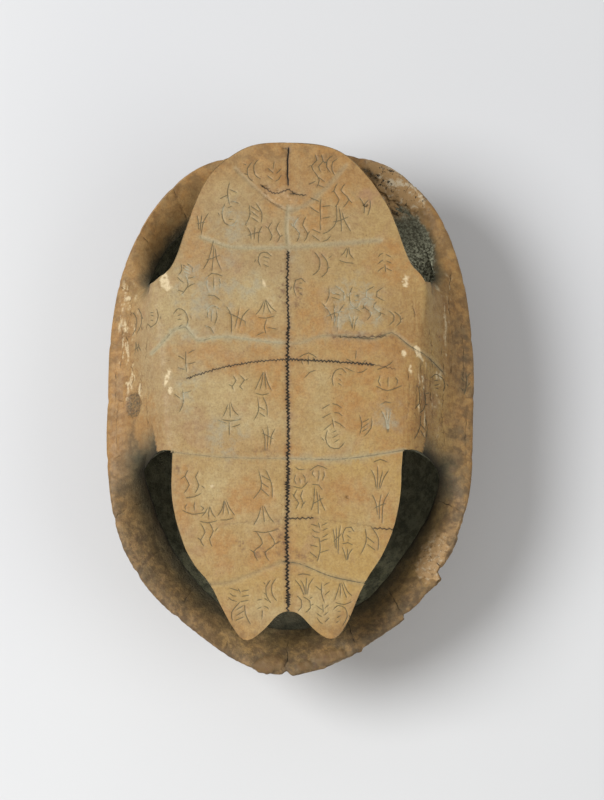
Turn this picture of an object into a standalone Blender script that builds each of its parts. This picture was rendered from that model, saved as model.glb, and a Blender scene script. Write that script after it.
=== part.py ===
"""A carved turtle shell: carapace, bridges and plastron of one turtle, as a single hollow piece of bone.

The shell lies on the crown of its carapace with the carved plastron up. +Y is the head end and +X the right
hand side when the plastron is looked at with the head end on top. Sizes below are in millimetres, measured
round an axis that runs through the middle of the shell; bearings are in degrees from the head end, and each
outline row holds a bearing, the radius on the right side and the radius on the left side.
"""

import math

import bmesh
import bpy
from mathutils import Vector

MM = 0.001

# Outer edge of the carapace, seen from above.
RIM_OUTLINE = (
    (0, 113.0, 113.0),
    (19, 114.3, 113.0),
    (32, 108.5, 105.2),
    (46, 96.2, 93.8),
    (62, 84.0, 82.6),
    (80, 76.6, 75.3),
    (95, 75.2, 74.9),
    (110, 78.7, 78.3),
    (125, 83.5, 84.4),
    (140, 89.5, 89.7),
    (155, 95.0, 94.0),
    (170, 101.2, 101.6),
    (180, 104.2, 104.2),
)
# Inner edge of the marginal plates' under-face, which rolls down into the hollow where the shell is open, and
# which on the sides is where the bridge begins.
BAND_OUTLINE = (
    (0, 97.0, 97.0),
    (30, 97.0, 91.0),
    (46, 82.0, 80.0),
    (62, 68.0, 67.0),
    (80, 58.5, 57.5),
    (95, 56.5, 56.0),
    (103, 59.5, 58.5),
    (110, 64.5, 62.5),
    (118, 66.5, 63.5),
    (140, 71.0, 70.5),
    (160, 79.5, 79.0),
    (180, 84.0, 84.0),
)
# Edge of the plastron: front lobe, notch, bridge, tapering rear lobe, and the two tips beside the tail notch.
PLASTRON_OUTLINE = (
    (0, 110.7, 110.7),
    (8, 110.3, 110.7),
    (13, 107.6, 107.6),
    (19, 100.6, 101.8),
    (27, 91.2, 89.0),
    (34, 82.2, 79.8),
    (40, 77.4, 75.2),
    (46, 76.2, 75.7),
    (58, 60.0, 61.0),
    (72, 51.5, 52.0),
    (90, 48.0, 48.5),
    (106, 47.8, 49.0),
    (116, 50.2, 52.4),
    (130, 57.5, 60.5),
    (149, 70.0, 73.2),
    (155, 74.0, 76.0),
    (160, 80.0, 81.8),
    (165, 88.8, 89.2),
    (169, 94.0, 94.6),
    (173, 89.8, 90.0),
    (177, 82.0, 81.8),
    (180, 80.8, 80.8),
)

# Heights above the floor.
PLASTRON_HEIGHT = 82.0
FRONT_LOBE_DROP = 3.2
FRONT_LOBE_START = 45.0
FRONT_LOBE_END = 125.0
REAR_LOBE_DROP = 4.0
REAR_LOBE_START = 30.0
REAR_LOBE_END = 110.0
SIDE_DROP = 1.0
RIM_HEIGHT = 60.5
FRONT_RIM_DROP = 4.5
FRONT_RIM_REACH = (15.0, 60.0)
REAR_RIM_DROP = 3.5
REAR_RIM_REACH = (105.0, 155.0)
BRIDGE_HEIGHT = 73.0
BAND_DIP = 11.5
EARTH_BAND_DIP = 4.0
BAND_CURVE = 2.0

# The dome of the carapace rises as 1 - (1 - out ** DOME_POWER) ** DOME_EDGE, where out is 1 at the rim.
DOME_POWER = 2.1
DOME_EDGE = 0.7
FLAT_CUT = 1.0
KEEL_HEIGHT = 0.8
KEEL_HALF_WIDTH = 5.0

# Thickness of the bone.
CARAPACE_WALL = 4.4
PLASTRON_WALL = 4.8
RIM_WALL = 7.0
RIM_DEPTH = 7.5
FREE_WALL = 7.2
BAND_WALL = 3.4
FREE_LIP = 3.2
FREE_INSET = 0.5
FREE_GAP = 0.6
BRIDGE_WALL = 2.6
PLASTRON_LIP = 0.9
RIM_EDGE = ((0.4, 3.2), (0.0, 1.6), (1.3, 0.2))

# Hardened earth that fills the right front opening: its bearings (clear, full, full, clear), how high it is
# heaped, how steeply it falls away into the hollow, and how far under the lip of the rim it starts.
EARTH_BEARINGS = (24.0, 37.0, 49.0, 70.0)
EARTH_HEAP = 20.0
EARTH_FALL = 0.22
EARTH_EDGE = 8
EARTH_DEPTH = 0.8

# Where the openings for the legs end, as bearings, and how far each notch bites into the bridge.
FRONT_NOTCH = 46.0
REAR_NOTCH = 109.5
FRONT_NOTCH_BITE = 0.8
REAR_NOTCH_BITE = 2.6
NOTCH_BITE_REACH = 7.0
BRIDGE_RAMP = 12.0

# The block that the shell is shaped from: its corners lie at this angle, and these are its rows of faces.
CORNER_ANGLE = 60.0
COLUMNS_ACROSS = 24
ROWS_REAR = 14
ROWS_BRIDGE = 13
ROWS_FRONT = 6
LEVELS = 9
BAND_LEVELS = 5
EVEN_HALF_WIDTH = 48.0
EVEN_HALF_LENGTH = 100.0
TOUCH = 1e-5

BONE_COLOUR = (0.43, 0.31, 0.17, 1.0)
BONE_ROUGHNESS = 0.55
SHARP_ANGLE = 40.0


def mix(low, high, share):
    """The value that lies this share of the way from low to high."""
    return low + (high - low) * share


def ease(value, start, end):
    """A smooth step from 0 at start to 1 at end."""
    share = min(max((value - start) / (end - start), 0.0), 1.0)
    return share * share * (3 - 2 * share)


def outline_radius(outline, bearing):
    """Radius of an outline at a bearing, on a smooth curve through its points that is level at both ends."""
    at = abs(bearing)
    side = 1 if bearing >= 0 else 2
    slopes = [0.0]
    for before, after in zip(outline, outline[2:]):
        slopes.append((after[side] - before[side]) / (after[0] - before[0]))
    slopes.append(0.0)
    place = 0
    while place < len(outline) - 2 and at > outline[place + 1][0]:
        place += 1
    start = outline[place]
    end = outline[place + 1]
    width = end[0] - start[0]
    share = min((at - start[0]) / width, 1.0)
    straight = ease(share, 0.0, 1.0)
    rise_start = slopes[place] * width * share * (1 - share) ** 2
    rise_end = slopes[place + 1] * width * share * share * (share - 1)
    return mix(start[side], end[side], straight) + rise_start + rise_end


def rim_height(bearing):
    """Height of the carapace rim: highest at the bridges, lower in front and behind."""
    at = abs(bearing)
    front = 1 - ease(at, *FRONT_RIM_REACH)
    rear = ease(at, *REAR_RIM_REACH)
    return RIM_HEIGHT - FRONT_RIM_DROP * front - REAR_RIM_DROP * rear


def bridge_share(bearing):
    """1 along the bridges and 0 where the marginal plates are free, rising smoothly through each notch."""
    at = abs(bearing)
    after_front = ease(at, FRONT_NOTCH - BRIDGE_RAMP, FRONT_NOTCH + BRIDGE_RAMP)
    before_rear = 1 - ease(at, REAR_NOTCH - BRIDGE_RAMP, REAR_NOTCH + BRIDGE_RAMP)
    return after_front * before_rear


def earth_share(bearing):
    """1 where the earth sticks and 0 elsewhere; it sticks on the right side only."""
    start, full_start, full_end, end = EARTH_BEARINGS
    return ease(bearing, start, full_start) * (1 - ease(bearing, full_end, end))


def band_height(bearing):
    """Height of the inner edge of the marginal plates' under-face."""
    dip = mix(BAND_DIP, EARTH_BAND_DIP, earth_share(bearing))
    return mix(rim_height(bearing) - dip, BRIDGE_HEIGHT, bridge_share(bearing))


def plastron_height(x, y):
    """Height of the plastron's carved face, which droops a little towards both lobes and the bridges."""
    front = ease(y, FRONT_LOBE_START, FRONT_LOBE_END)
    rear = ease(-y, REAR_LOBE_START, REAR_LOBE_END)
    side = (x / EVEN_HALF_WIDTH) ** 2
    return PLASTRON_HEIGHT - FRONT_LOBE_DROP * front - REAR_LOBE_DROP * rear - SIDE_DROP * side


def dome_rise(out):
    """Share of the dome's height at this share of the way out to the rim."""
    return 1 - (1 - out**DOME_POWER) ** DOME_EDGE


def at_bearing(radius, bearing, height):
    """The point at this radius, bearing and height."""
    turn = math.radians(bearing)
    return Vector((radius * math.sin(turn), radius * math.cos(turn), height))


def disk_place(u, v):
    """Where a place on the square block falls on the round shell: share of the way out, and bearing."""
    across = u * math.sqrt(1 - v * v / 2)
    along = v * math.sqrt(1 - u * u / 2)
    stretch = math.tan(math.radians(CORNER_ANGLE))
    bearing = math.degrees(math.atan2(across, along * stretch))
    return min(math.hypot(across, along), 1.0), bearing


def notch_row(bearing):
    """The place along the block's long side that comes out at this bearing."""
    stretch = math.tan(math.radians(CORNER_ANGLE))
    slant = 1 / (math.tan(math.radians(bearing)) * stretch)
    return math.sqrt(2) * slant / math.hypot(1, slant)


def bitten(bearing, climb):
    """The bearing of a bridge point, moved into the bridge halfway up each notch to round it."""
    at = abs(bearing)
    bulge = math.sin(math.pi * climb)
    front = math.exp(-(((at - FRONT_NOTCH) / NOTCH_BITE_REACH) ** 2))
    rear = math.exp(-(((at - REAR_NOTCH) / NOTCH_BITE_REACH) ** 2))
    at += bulge * (FRONT_NOTCH_BITE * front - REAR_NOTCH_BITE * rear)
    return math.copysign(at, bearing)


def plate_reach(out, bearing, lip):
    """Radius of a plastron point: even rows in the middle that turn into the true outline at the edge."""
    turn = math.radians(bearing)
    even = 1 / math.hypot(math.sin(turn) / EVEN_HALF_WIDTH, math.cos(turn) / EVEN_HALF_LENGTH)
    edge = outline_radius(PLASTRON_OUTLINE, bearing) - lip
    return out * mix(even, edge, out**3)


def outer_height(radius, bearing):
    """Height of the carapace's outside at a radius, leaving out the keel and the flat spot."""
    inset, drop = RIM_EDGE[0]
    out = radius / (outline_radius(RIM_OUTLINE, bearing) - inset)
    return dome_rise(min(out, 1.0)) * (rim_height(bearing) - drop + FLAT_CUT) - FLAT_CUT


def outer_dome(out, bearing):
    """A point of the carapace's outside, with a low keel and a small flat spot at its crown."""
    radius = out * (outline_radius(RIM_OUTLINE, bearing) - RIM_EDGE[0][0])
    point = at_bearing(radius, bearing, 0.0)
    keel = KEEL_HEIGHT * math.exp(-((point.x / KEEL_HALF_WIDTH) ** 2)) * (1 - out**4)
    point.z = max(outer_height(radius, bearing) - keel, 0.0)
    return point


def inner_band(bearing):
    """Radius and height of the hidden edge of the marginal plates' under-face."""
    radius = outline_radius(BAND_OUTLINE, bearing) + mix(FREE_LIP, -BRIDGE_WALL, bridge_share(bearing))
    return radius, band_height(bearing) - BAND_WALL


def inner_rim(bearing):
    """Radius and height where the dome's inside meets the marginal plates, or the groove behind a bridge."""
    earth = earth_share(bearing)
    groove = bridge_share(bearing) * (1 - earth)
    lip_radius, lip_height = inner_band(bearing)
    free_radius = lip_radius + FREE_INSET
    free_height = min(outer_height(free_radius, bearing) + FREE_WALL, lip_height - FREE_GAP)
    free_height = mix(free_height, lip_height - EARTH_DEPTH, earth)
    radius = mix(free_radius, outline_radius(RIM_OUTLINE, bearing) - RIM_WALL, groove)
    return radius, mix(free_height, rim_height(bearing) - RIM_DEPTH, groove)


def inner_dome(out, bearing):
    """A point of the carapace's inside, or of the earth heaped on it."""
    radius, height = inner_rim(bearing)
    heap = EARTH_HEAP * math.exp(-(((1 - out) / EARTH_FALL) ** 2)) * (1 - out**EARTH_EDGE)
    rise = mix(CARAPACE_WALL, height, dome_rise(out)) + heap * earth_share(bearing)
    return at_bearing(out * radius, bearing, rise)


def outer_plate(out, bearing):
    """A point of the plastron's carved face."""
    point = at_bearing(plate_reach(out, bearing, 0.0), bearing, 0.0)
    point.z = plastron_height(point.x, point.y)
    return point


def inner_plate(out, bearing):
    """A point of the plastron's hidden face, set in from the edge."""
    lip = mix(PLASTRON_LIP, BRIDGE_WALL, bridge_share(bearing))
    point = at_bearing(plate_reach(out, bearing, lip), bearing, 0.0)
    point.z = plastron_height(point.x, point.y) - PLASTRON_WALL
    return point


def outer_side(level, bearing):
    """A point of the rim, of the marginal plates' under-face or of the bridge, on the outside."""
    rim = outline_radius(RIM_OUTLINE, bearing)
    band = outline_radius(BAND_OUTLINE, bearing)
    if level < len(RIM_EDGE):
        inset, drop = RIM_EDGE[level]
        return at_bearing(rim - inset, bearing, rim_height(bearing) - drop)
    if level <= BAND_LEVELS:
        inset, drop = RIM_EDGE[-1]
        share = (level - len(RIM_EDGE) + 1) / (BAND_LEVELS - len(RIM_EDGE) + 1)
        height = mix(rim_height(bearing) - drop, band_height(bearing), share**BAND_CURVE)
        return at_bearing(mix(rim - inset, band, share), bearing, height)
    return bridge_point(level, bearing, False)


def inner_side(level, bearing):
    """The point behind outer_side on the inside of the wall."""
    if level <= BAND_LEVELS:
        share = level / BAND_LEVELS
        low_radius, low_height = inner_rim(bearing)
        high_radius, high_height = inner_band(bearing)
        return at_bearing(mix(low_radius, high_radius, share), bearing, mix(low_height, high_height, share))
    return bridge_point(level, bearing, True)


def bridge_point(level, bearing, inside):
    """A point of the bridge, between marginal plates and plastron, on its hidden or its outer face."""
    climb = (level - BAND_LEVELS) / (LEVELS - BAND_LEVELS)
    bearing = bitten(bearing, climb)
    if inside:
        low_radius, low_height = inner_band(bearing)
        high = inner_plate(1.0, bearing)
    else:
        low_radius, low_height = outline_radius(BAND_OUTLINE, bearing), band_height(bearing)
        high = outer_plate(1.0, bearing)
    radius = mix(low_radius, high.xy.length, climb)
    height = mix(low_height, high.z, math.sin(math.pi / 2 * climb))
    return at_bearing(radius, bearing, height)


def shell_point(place, dome, side, plate):
    """The point of one skin of the shell that a place on the block's surface becomes."""
    out, bearing = disk_place(place.x, place.y)
    if place.z > 1 - TOUCH:
        return plate(out, bearing)
    if place.z < -1 + TOUCH:
        return dome(out, bearing)
    return side(round((place.z + 1) / 2 * LEVELS), bearing)


def cuts_between(ends_and_counts):
    """Evenly spaced cuts through each stretch, with the shared ends but without the outer two."""
    cuts = []
    for start, end, count in ends_and_counts:
        cuts.extend(mix(start, end, step / count) for step in range(1, count + 1))
    return cuts[:-1]


def cut_block():
    """A block two units a side whose surface is cut into the rows, columns and levels of faces."""
    rear = notch_row(REAR_NOTCH)
    front = notch_row(FRONT_NOTCH)
    columns = cuts_between([(-1.0, 1.0, COLUMNS_ACROSS)])
    rows = cuts_between([(-1.0, rear, ROWS_REAR), (rear, front, ROWS_BRIDGE), (front, 1.0, ROWS_FRONT)])
    levels = cuts_between([(-1.0, 1.0, LEVELS)])
    block = bmesh.new()
    bmesh.ops.create_cube(block, size=2.0)
    for axis, cuts in enumerate((columns, rows, levels)):
        for cut in cuts:
            normal = Vector((0.0, 0.0, 0.0))
            normal[axis] = 1.0
            everything = block.verts[:] + block.edges[:] + block.faces[:]
            bmesh.ops.bisect_plane(block, geom=everything, dist=TOUCH, plane_co=normal * cut, plane_no=normal)
    return block


def is_opening(face):
    """True for a face of the block that lies where the shell is open for the head, legs or tail."""
    centre = face.calc_center_median()
    on_side = abs(centre.z) < 1 - TOUCH
    beside_bridge = abs(centre.x) > 1 - TOUCH and notch_row(REAR_NOTCH) < centre.y < notch_row(FRONT_NOTCH)
    above_band = centre.z > 2 * BAND_LEVELS / LEVELS - 1
    return on_side and above_band and not beside_bridge


def shell_mesh():
    """The shell: the opened block's skin, doubled by an extrusion into an inside and an outside."""
    block = cut_block()
    openings = [face for face in block.faces if is_opening(face)]
    bmesh.ops.delete(block, geom=openings, context="FACES")
    inside = set(block.verts)
    bmesh.ops.extrude_face_region(block, geom=block.faces[:], use_keep_orig=True)
    for vert in block.verts:
        if vert in inside:
            vert.co = shell_point(vert.co, inner_dome, inner_side, inner_plate)
        else:
            vert.co = shell_point(vert.co, outer_dome, outer_side, outer_plate)
    bmesh.ops.recalc_face_normals(block, faces=block.faces[:])
    return block


def centre_on_floor(block):
    """Puts the middle of the shell's bounding box over the origin, and its lowest face on the floor."""
    low = Vector(min(vert.co[axis] for vert in block.verts) for axis in range(3))
    high = Vector(max(vert.co[axis] for vert in block.verts) for axis in range(3))
    middle = (low + high) / 2
    bmesh.ops.translate(block, verts=block.verts[:], vec=Vector((-middle.x, -middle.y, -low.z)))


def bone_material():
    """Old, dry bone."""
    material = bpy.data.materials.new("bone")
    material.use_nodes = True
    shader = material.node_tree.nodes["Principled BSDF"]
    shader.inputs["Base Color"].default_value = BONE_COLOUR
    shader.inputs["Roughness"].default_value = BONE_ROUGHNESS
    shader.inputs["Metallic"].default_value = 0.0
    return material


def main():
    for old in list(bpy.data.objects):
        bpy.data.objects.remove(old, do_unlink=True)
    block = shell_mesh()
    centre_on_floor(block)
    bmesh.ops.scale(block, verts=block.verts[:], vec=Vector((MM, MM, MM)))
    mesh = bpy.data.meshes.new("turtle_shell")
    block.to_mesh(mesh)
    block.free()
    mesh.shade_smooth()
    mesh.set_sharp_from_angle(angle=math.radians(SHARP_ANGLE))
    mesh.materials.append(bone_material())
    bpy.context.scene.collection.objects.link(bpy.data.objects.new("turtle_shell", mesh))


main()
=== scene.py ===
"""The carved turtle shell, finished: seams, carved marks, cracks, chips, crust and earth on old bone.

The shell lies on the crown of its carapace with the carved plastron up, +Y towards the head end and +X to
the right. Sizes are in millimetres until the finished mesh is scaled to metres. One piece takes the place of
the plain shell: it starts as a copy of it, is rounded and cut finer, and is then carved and worn by moving
points.
"""

import math
import random

import bmesh
import bpy
import numpy as np
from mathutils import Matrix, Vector, noise
from mathutils.kdtree import KDTree


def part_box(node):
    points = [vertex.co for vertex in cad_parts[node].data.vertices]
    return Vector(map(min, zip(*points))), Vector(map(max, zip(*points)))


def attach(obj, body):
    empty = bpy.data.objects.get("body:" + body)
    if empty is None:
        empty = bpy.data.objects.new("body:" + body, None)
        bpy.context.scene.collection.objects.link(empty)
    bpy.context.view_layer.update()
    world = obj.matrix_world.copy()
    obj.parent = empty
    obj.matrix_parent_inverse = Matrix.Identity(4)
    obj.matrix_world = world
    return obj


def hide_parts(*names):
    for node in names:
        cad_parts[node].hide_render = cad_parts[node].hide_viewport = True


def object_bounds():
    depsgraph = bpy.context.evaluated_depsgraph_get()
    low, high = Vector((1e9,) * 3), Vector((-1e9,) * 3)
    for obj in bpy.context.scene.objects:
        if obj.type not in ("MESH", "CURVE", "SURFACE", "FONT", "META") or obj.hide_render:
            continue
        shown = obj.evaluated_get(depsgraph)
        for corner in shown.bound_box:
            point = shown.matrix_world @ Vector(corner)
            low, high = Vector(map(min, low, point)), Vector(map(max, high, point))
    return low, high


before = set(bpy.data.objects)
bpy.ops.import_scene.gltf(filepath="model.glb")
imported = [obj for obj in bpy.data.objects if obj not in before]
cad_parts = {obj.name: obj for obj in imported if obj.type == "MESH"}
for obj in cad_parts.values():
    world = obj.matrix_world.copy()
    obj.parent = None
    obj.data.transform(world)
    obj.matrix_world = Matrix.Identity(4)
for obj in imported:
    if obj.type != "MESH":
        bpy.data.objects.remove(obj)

PLAIN_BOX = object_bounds()
MM = 1000.0

# The surface that a face belongs to.
INSIDE = 0
DOME = 1
TOP = 2

# How the plain shell is rounded and cut finer. Folds sharper than these part the surfaces and are rounded,
# CELL is the square of the floor plan that faces are sorted by, and edges under SLIVER are closed at the end.
MERGE = 0.001
FLAT_JOIN = math.radians(40)
SHAPE_JOIN = math.radians(60)
OUTER_FOLD = math.radians(60)
TOP_FOLD = math.radians(48)
LIP_FOLD = math.radians(62)
LIP_ROUND = 0.9
CELL = 3.0
CUT_SNAP = 0.02
SLIVER = 0.05

# Heights above the floor: the rim and its under-face end at RIM_TOP, and crust and earth start at HEAP_FOOT.
RIM_TOP = 66.0
HEAP_FOOT = 42.0

# Soot and painted shade round the openings, the rim painted darker towards them as if it rolled away from the
# light: how high their edges lie at most, how far it reaches from them on the left, on the right and in
# front, how dark it is, how dark the painted shade on the edge itself is, and how much of it is gone above
# the tail.
SOOT_AND_SHADE_LIP_TOP = 75.0
SOOT_AND_SHADE_START = 0.08
SOOT_AND_SHADE_REACH_LEFT = 15.5
SOOT_AND_SHADE_REACH_RIGHT = 12.8
SOOT_AND_SHADE_REACH_FRONT = 6.5
SOOT_AND_SHADE_SHARE = 0.86
LIP_SHADE_SHARE = 0.85
TAIL_CLEAN = 0.5
# A pocket of painted shade on the rim where the front left opening ends.
PAINTED_SHADE_POCKETS = ((-53, 60, 3.6, 7, -22),)

# The relief rises and falls about a surface this far below the plain one, and dies away towards the floor.
HEADROOM = 0.18
FLOOR_CALM = 4.0

# Furrows that the horny shields left on the plastron: half width, how much pale dirt lies in them, how dark
# the line along their bottom is, and the line that each one follows.
FURROW_DEPTH = 0.46
FURROW_STEP = 3.0
FURROW_REACH = 3.0
SILT_SPREAD = 1.5
PLASTRON_FURROWS = (
    (0.9, 0.4, 0.05, ((22.4, 96.6), (13, 85.6), (3.9, 78.8), (-1, 77.6))),
    (0.8, 0.3, 0.05, ((-22.6, 95.4), (-14.4, 87.2), (-6.2, 80.4), (-1, 77.6))),
    (0.7, 0.75, 0.3, ((-36, 66.6), (-30, 64.4), (-24.2, 62.4), (-12, 61.9), (-1, 62.2))),
    (0.9, 0.6, 0.15, ((-1, 62.2), (9, 63), (19.9, 63.8), (36.4, 65.4))),
    (0.8, 0.85, 0.6, ((-56, 19.6), (-52.2, 22.4), (-46.2, 28.8), (-42.2, 29.7), (-37.4, 24.2), (-32, 25))),
    (0.7, 0.95, 0.45, ((-32, 25), (-24.2, 25.4), (-14, 24), (-4.2, 23))),
    (0.7, 0.55, 0.35, ((-4.2, 23), (3.9, 22.8), (11.9, 25.6), (22, 25.8))),
    (0.9, 0.35, 0.75, ((22, 25.8), (33.9, 24.8), (40.7, 27.4), (47.9, 21.9), (55.9, 17.9), (62, 13.4))),
    (0.6, 0.4, 0.6, ((-47.6, -21.2), (-36, -22.6), (-24.2, -23.6), (-2.2, -24))),
    (0.7, 0.75, 0.65, ((-2.2, -24), (15.9, -24.4), (24, -23.8), (33, -22.6), (45.6, -20.4))),
    (0.9, 0.25, 0.35, ((-31.8, -74.2), (-24, -73.6), (-16.2, -70.6), (-3, -65.4))),
    (1, 0.3, 0.75, ((-3, -65.4), (3.9, -66.2), (15.9, -71.1), (30, -74))),
    (0.8, 0.65, 0.2, ((-1, 79.6), (-1.6, 70), (-0.8, 60.5))),
)

# Zigzag seams between the bones: half width and depth of the crack, how far rust spreads beside it, then for
# each stretch its line, the length and the reach of one tooth, and how open it is.
SEAM_WIDTH = 0.46
SEAM_DEPTH = 0.75
HALO_REACH = 2.4
SEAMS = (
    (((-1, 60.5), (-1.2, 44), (-0.8, 30)), 1.4, 0.4, 0.8),
    (((-0.8, 30), (-1.2, 8), (-0.8, -12), (-1, -33)), 1.3, 0.5, 0.95),
    (((-1, -33), (-1.3, -58), (-1, -82.5)), 1.3, 0.62, 1.00),
    (((-1, -82.5), (-1, -87)), 1.4, 0.45, 0.7),
    (((-1, 16.3), (-16.2, 15), (-30.2, 12.2), (-41.4, 8.6)), 1.3, 0.36, 0.44),
    (((-1, 16.3), (15.9, 15.4), (33.4, 14.2)), 1.3, 0.36, 0.56),
    (((33.4, 14.2), (42, 12.4)), 1.7, 0.3, 0.3),
    (((-1, -48.2), (9, -48)), 1.7, 0.3, 0.5),
    (((9, -48), (33, -51.2)), 1.9, 0.3, 0.18),
    (((-1, -48.2), (-26, -50.4)), 1.9, 0.3, 0.18),
    (((-12, 88.4), (-6.2, 84.9), (-1, 86.5), (2.3, 84.5), (6.4, 84.1)), 1.3, 0.26, 0.42),
    (((-10.6, 86.4), (-8.6, 82), (-3.4, 79.2)), 1.3, 0.3, 0.22),
    (((-0.8, 103.8), (-1.2, 96), (-1, 88.2)), 5, 0.12, 0.95),
    (((18.9, 25.8), (26, 25.2), (38.5, 25.8)), 2.4, 0.4, 0.35),
    (((33.2, -52), (41, -52.4)), 1.8, 0.4, 0.45),
)

# Fine cracks in the flaking bone of both margins and bridges.
MARGIN_CRACKS = (
    ((-66.6, 50), (-65, 40), (-67, 31), (-65.6, 24)),
    ((-62.4, 46), (-63.4, 35), (-62, 26)),
    ((-69.2, 36), (-68.4, 24), (-69.6, 15)),
    ((-66, 20), (-63.6, 12), (-65.4, 7.6)),
    ((-61.4, 14), (-60.4, 8), (-62.2, 3)),
    ((-58.6, 40), (-58, 27), (-58.8, 16)),
    ((-70, 4), (-70.6, -8), (-70.2, -22)),
    ((-71.4, 20), (-71, 8), (-71.8, -6)),
    ((-57, 8), (-58.2, 0), (-57.4, -10)),
    ((46.6, 14), (47.8, 4), (46.8, -8)),
    ((51.8, 8), (52.6, -2), (51.4, -14)),
    ((56, 30), (57.4, 18), (56.4, 6), (57.6, -6)),
    ((65.6, 57), (64.6, 42), (66, 27), (65, 12)),
    ((61.2, 24), (62.4, 10), (61.4, -4), (62.6, -16)),
    ((69.4, 36), (70.4, 20), (69.8, 4)),
    ((71.6, -2), (71, -14), (71.4, -24)),
    ((49, 40), (50.2, 32), (49.4, 26)),
    ((58.4, -12), (57, -18), (58, -22)),
)
CRACK_WIDTH = 0.26
CRACK_DEPTH = 0.28
CRACK_TOOTH = 3.4
CRACK_REACH = 0.22
CRACK_TAPER = 3.0

# Columns of carved marks: middle, upper and lower end, how many marks stand between them, and their width.
CARVED_COLUMNS = (
    (-15.6, 99, 89.8, 1, 6),
    (-6.6, 98.6, 90, 1, 5.6),
    (-25, 90, 71, 2, 6.6),
    (-14.6, 81, 64.8, 1, 7),
    (-7, 73, 64.6, 1, 6.6),
    (-36, 77, 68.6, 1, 4.6),
    (11, 101, 87.4, 1, 6),
    (16.6, 101, 92.6, 1, 4.6),
    (12.2, 83, 64.6, 1, 7.4),
    (20.4, 89, 68.6, 2, 7.6),
    (4.4, 75, 64.8, 1, 7.4),
    (30.6, 83, 76, 1, 4.4),
    (-11, 60.6, 54, 1, 6.6),
    (-31, 64, 40.4, 2, 7),
    (-43.4, 37.4, 29.6, 1, 7),
    (-31.6, 39, 27.4, 1, 5),
    (-21.2, 39, 28, 1, 9.6),
    (-9.6, 40.4, 26.4, 1, 7.4),
    (-42.4, 56, 43, 1, 6.4),
    (22.6, 62.4, 55.6, 1, 6.6),
    (12.6, 60.4, 49.6, 1, 6.6),
    (18, 46.4, 30.4, 1, 8.4),
    (25.6, 46, 28.6, 2, 5.4),
    (33.6, 46, 32.4, 1, 8.6),
    (42.4, 36.4, 30, 1, 5.4),
    (38, 60, 52, 1, 5.4),
    (3.6, 50, 42, 1, 5.6),
    (-41.4, 20, 11, 1, 6.4),
    (-20.6, 9.8, 3.6, 1, 7.2),
    (-11.2, 11, -8.6, 2, 6),
    (-24, -1.6, -15, 1, 8.4),
    (-8.8, -10.4, -19.4, 1, 6),
    (-43.6, 4, -5, 1, 5.6),
    (7.2, 19, 9.4, 1, 6.4),
    (19, 12.8, 5.4, 1, 6.6),
    (26, 20, 11, 1, 8.4),
    (39.4, 15.2, 3, 1, 9.6),
    (17, -1.6, -20.6, 1, 8),
    (30, -6.4, -14.8, 1, 6),
    (38.4, -0.4, -12.8, 1, 5),
    (60.4, 12, 5.4, 1, 6.6),
    (53, 6, -16, 2, 5),
    (-38.6, -28.8, -47, 2, 9),
    (-32.6, -43.4, -59.2, 1, 7.4),
    (-26, -41, -49.2, 1, 5.6),
    (-10.2, -28.6, -41, 1, 8.6),
    (-10.2, -43, -65, 2, 10.6),
    (3.6, -27, -44.4, 1, 5),
    (11.2, -26.6, -46.4, 2, 6),
    (35.8, -24, -49, 2, 6.4),
    (11.8, -49.6, -65, 1, 6.4),
    (18.4, -51, -61, 1, 3.4),
    (22.8, -51, -65, 1, 5),
    (32.2, -51, -62.6, 1, 7.4),
    (-20.2, -75.6, -90, 1, 8),
    (-11, -79.6, -88.2, 1, 4.6),
    (-8.2, -71.8, -82, 1, 5),
    (5.8, -69.6, -85.6, 1, 6.4),
    (13, -73.6, -90, 1, 4.8),
    (20.6, -73.6, -90, 1, 6.8),
    (-62, 40, 28.6, 1, 4.4),
    (-62.4, 25.6, 21.4, 1, 3),
    (-54.8, 37, 30, 1, 5.6),
    (71, 14, 6, 1, 3.6),
)
CARVED_SEED = 5

# A mark taller than this is made of two motifs, and every mark is widened a little. Each stroke has a half
# width, a depth, shallow ends of this length, and points this far apart along its bends.
TALL_MARK = 12.5
CARVED_SPREAD = 1.14
CARVED_WIDTH = 0.30
CARVED_DEPTH = 0.30
CARVED_TAPER = 0.7
CARVED_STEP = 1.8

# Blemishes seen from above: middle, half width, half length, and how far they turn to the left, in degrees.
CREAM_CHIPS = (
    (-50.6, 48, 1.7, 3.8, 14),
    (-49.2, 9.4, 1, 3, -18),
    (-48.2, 4, 0.8, 1.6, 0),
    (46.2, 48.2, 1, 2.4, 0),
    (59.8, 48.6, 0.8, 1.3, 30),
    (45.4, 19, 0.8, 1.2, 10),
    (51, 20, 0.9, 1.5, 30),
    (52.4, 17.4, 0.5, 1.4, 40),
    (48, 12.4, 0.6, 1.3, 0),
    (60.6, 11.4, 0.5, 1.3, 0),
    (53.4, 9.2, 0.7, 1, 0),
    (56.2, 54.2, 3.4, 0.8, 38),
    (-31.4, -35.2, 0.6, 0.6, 0),
    (-11, 47.8, 0.6, 0.6, 0),
    (-66.4, 44, 0.6, 2.2, -14),
    (-67.6, 34, 0.45, 1.6, 10),
    (51.6, 91.2, 1.4, 3.6, 30),
)
FLESH_SPOTS = (
    (31, 84, 4, 3, 0),
    (63.4, -26, 3.4, 1.8, 20),
)
FLAKING_BONE = (
    (-66.4, 36, 3.6, 20, 0),
    (-64.6, 8, 4.6, 9, 0),
    (63.4, 36, 2, 18, 0),
    (56, 2, 6, 14, 0),
)
CRACKLED_BONE = (
    (46, -86, 7, 16, -45),
    (0, -104, 30, 6, 0),
    (66, -40, 5, 16, 0),
    (-46, -84, 6, 14, 45),
    (-66, 34, 4.4, 22, 0),
    (-63, 6, 8, 12, 0),
    (62, 24, 8, 26, 0),
    (56, -4, 10, 18, 0),
    (-62, -60, 7, 14, 28),
)
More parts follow.
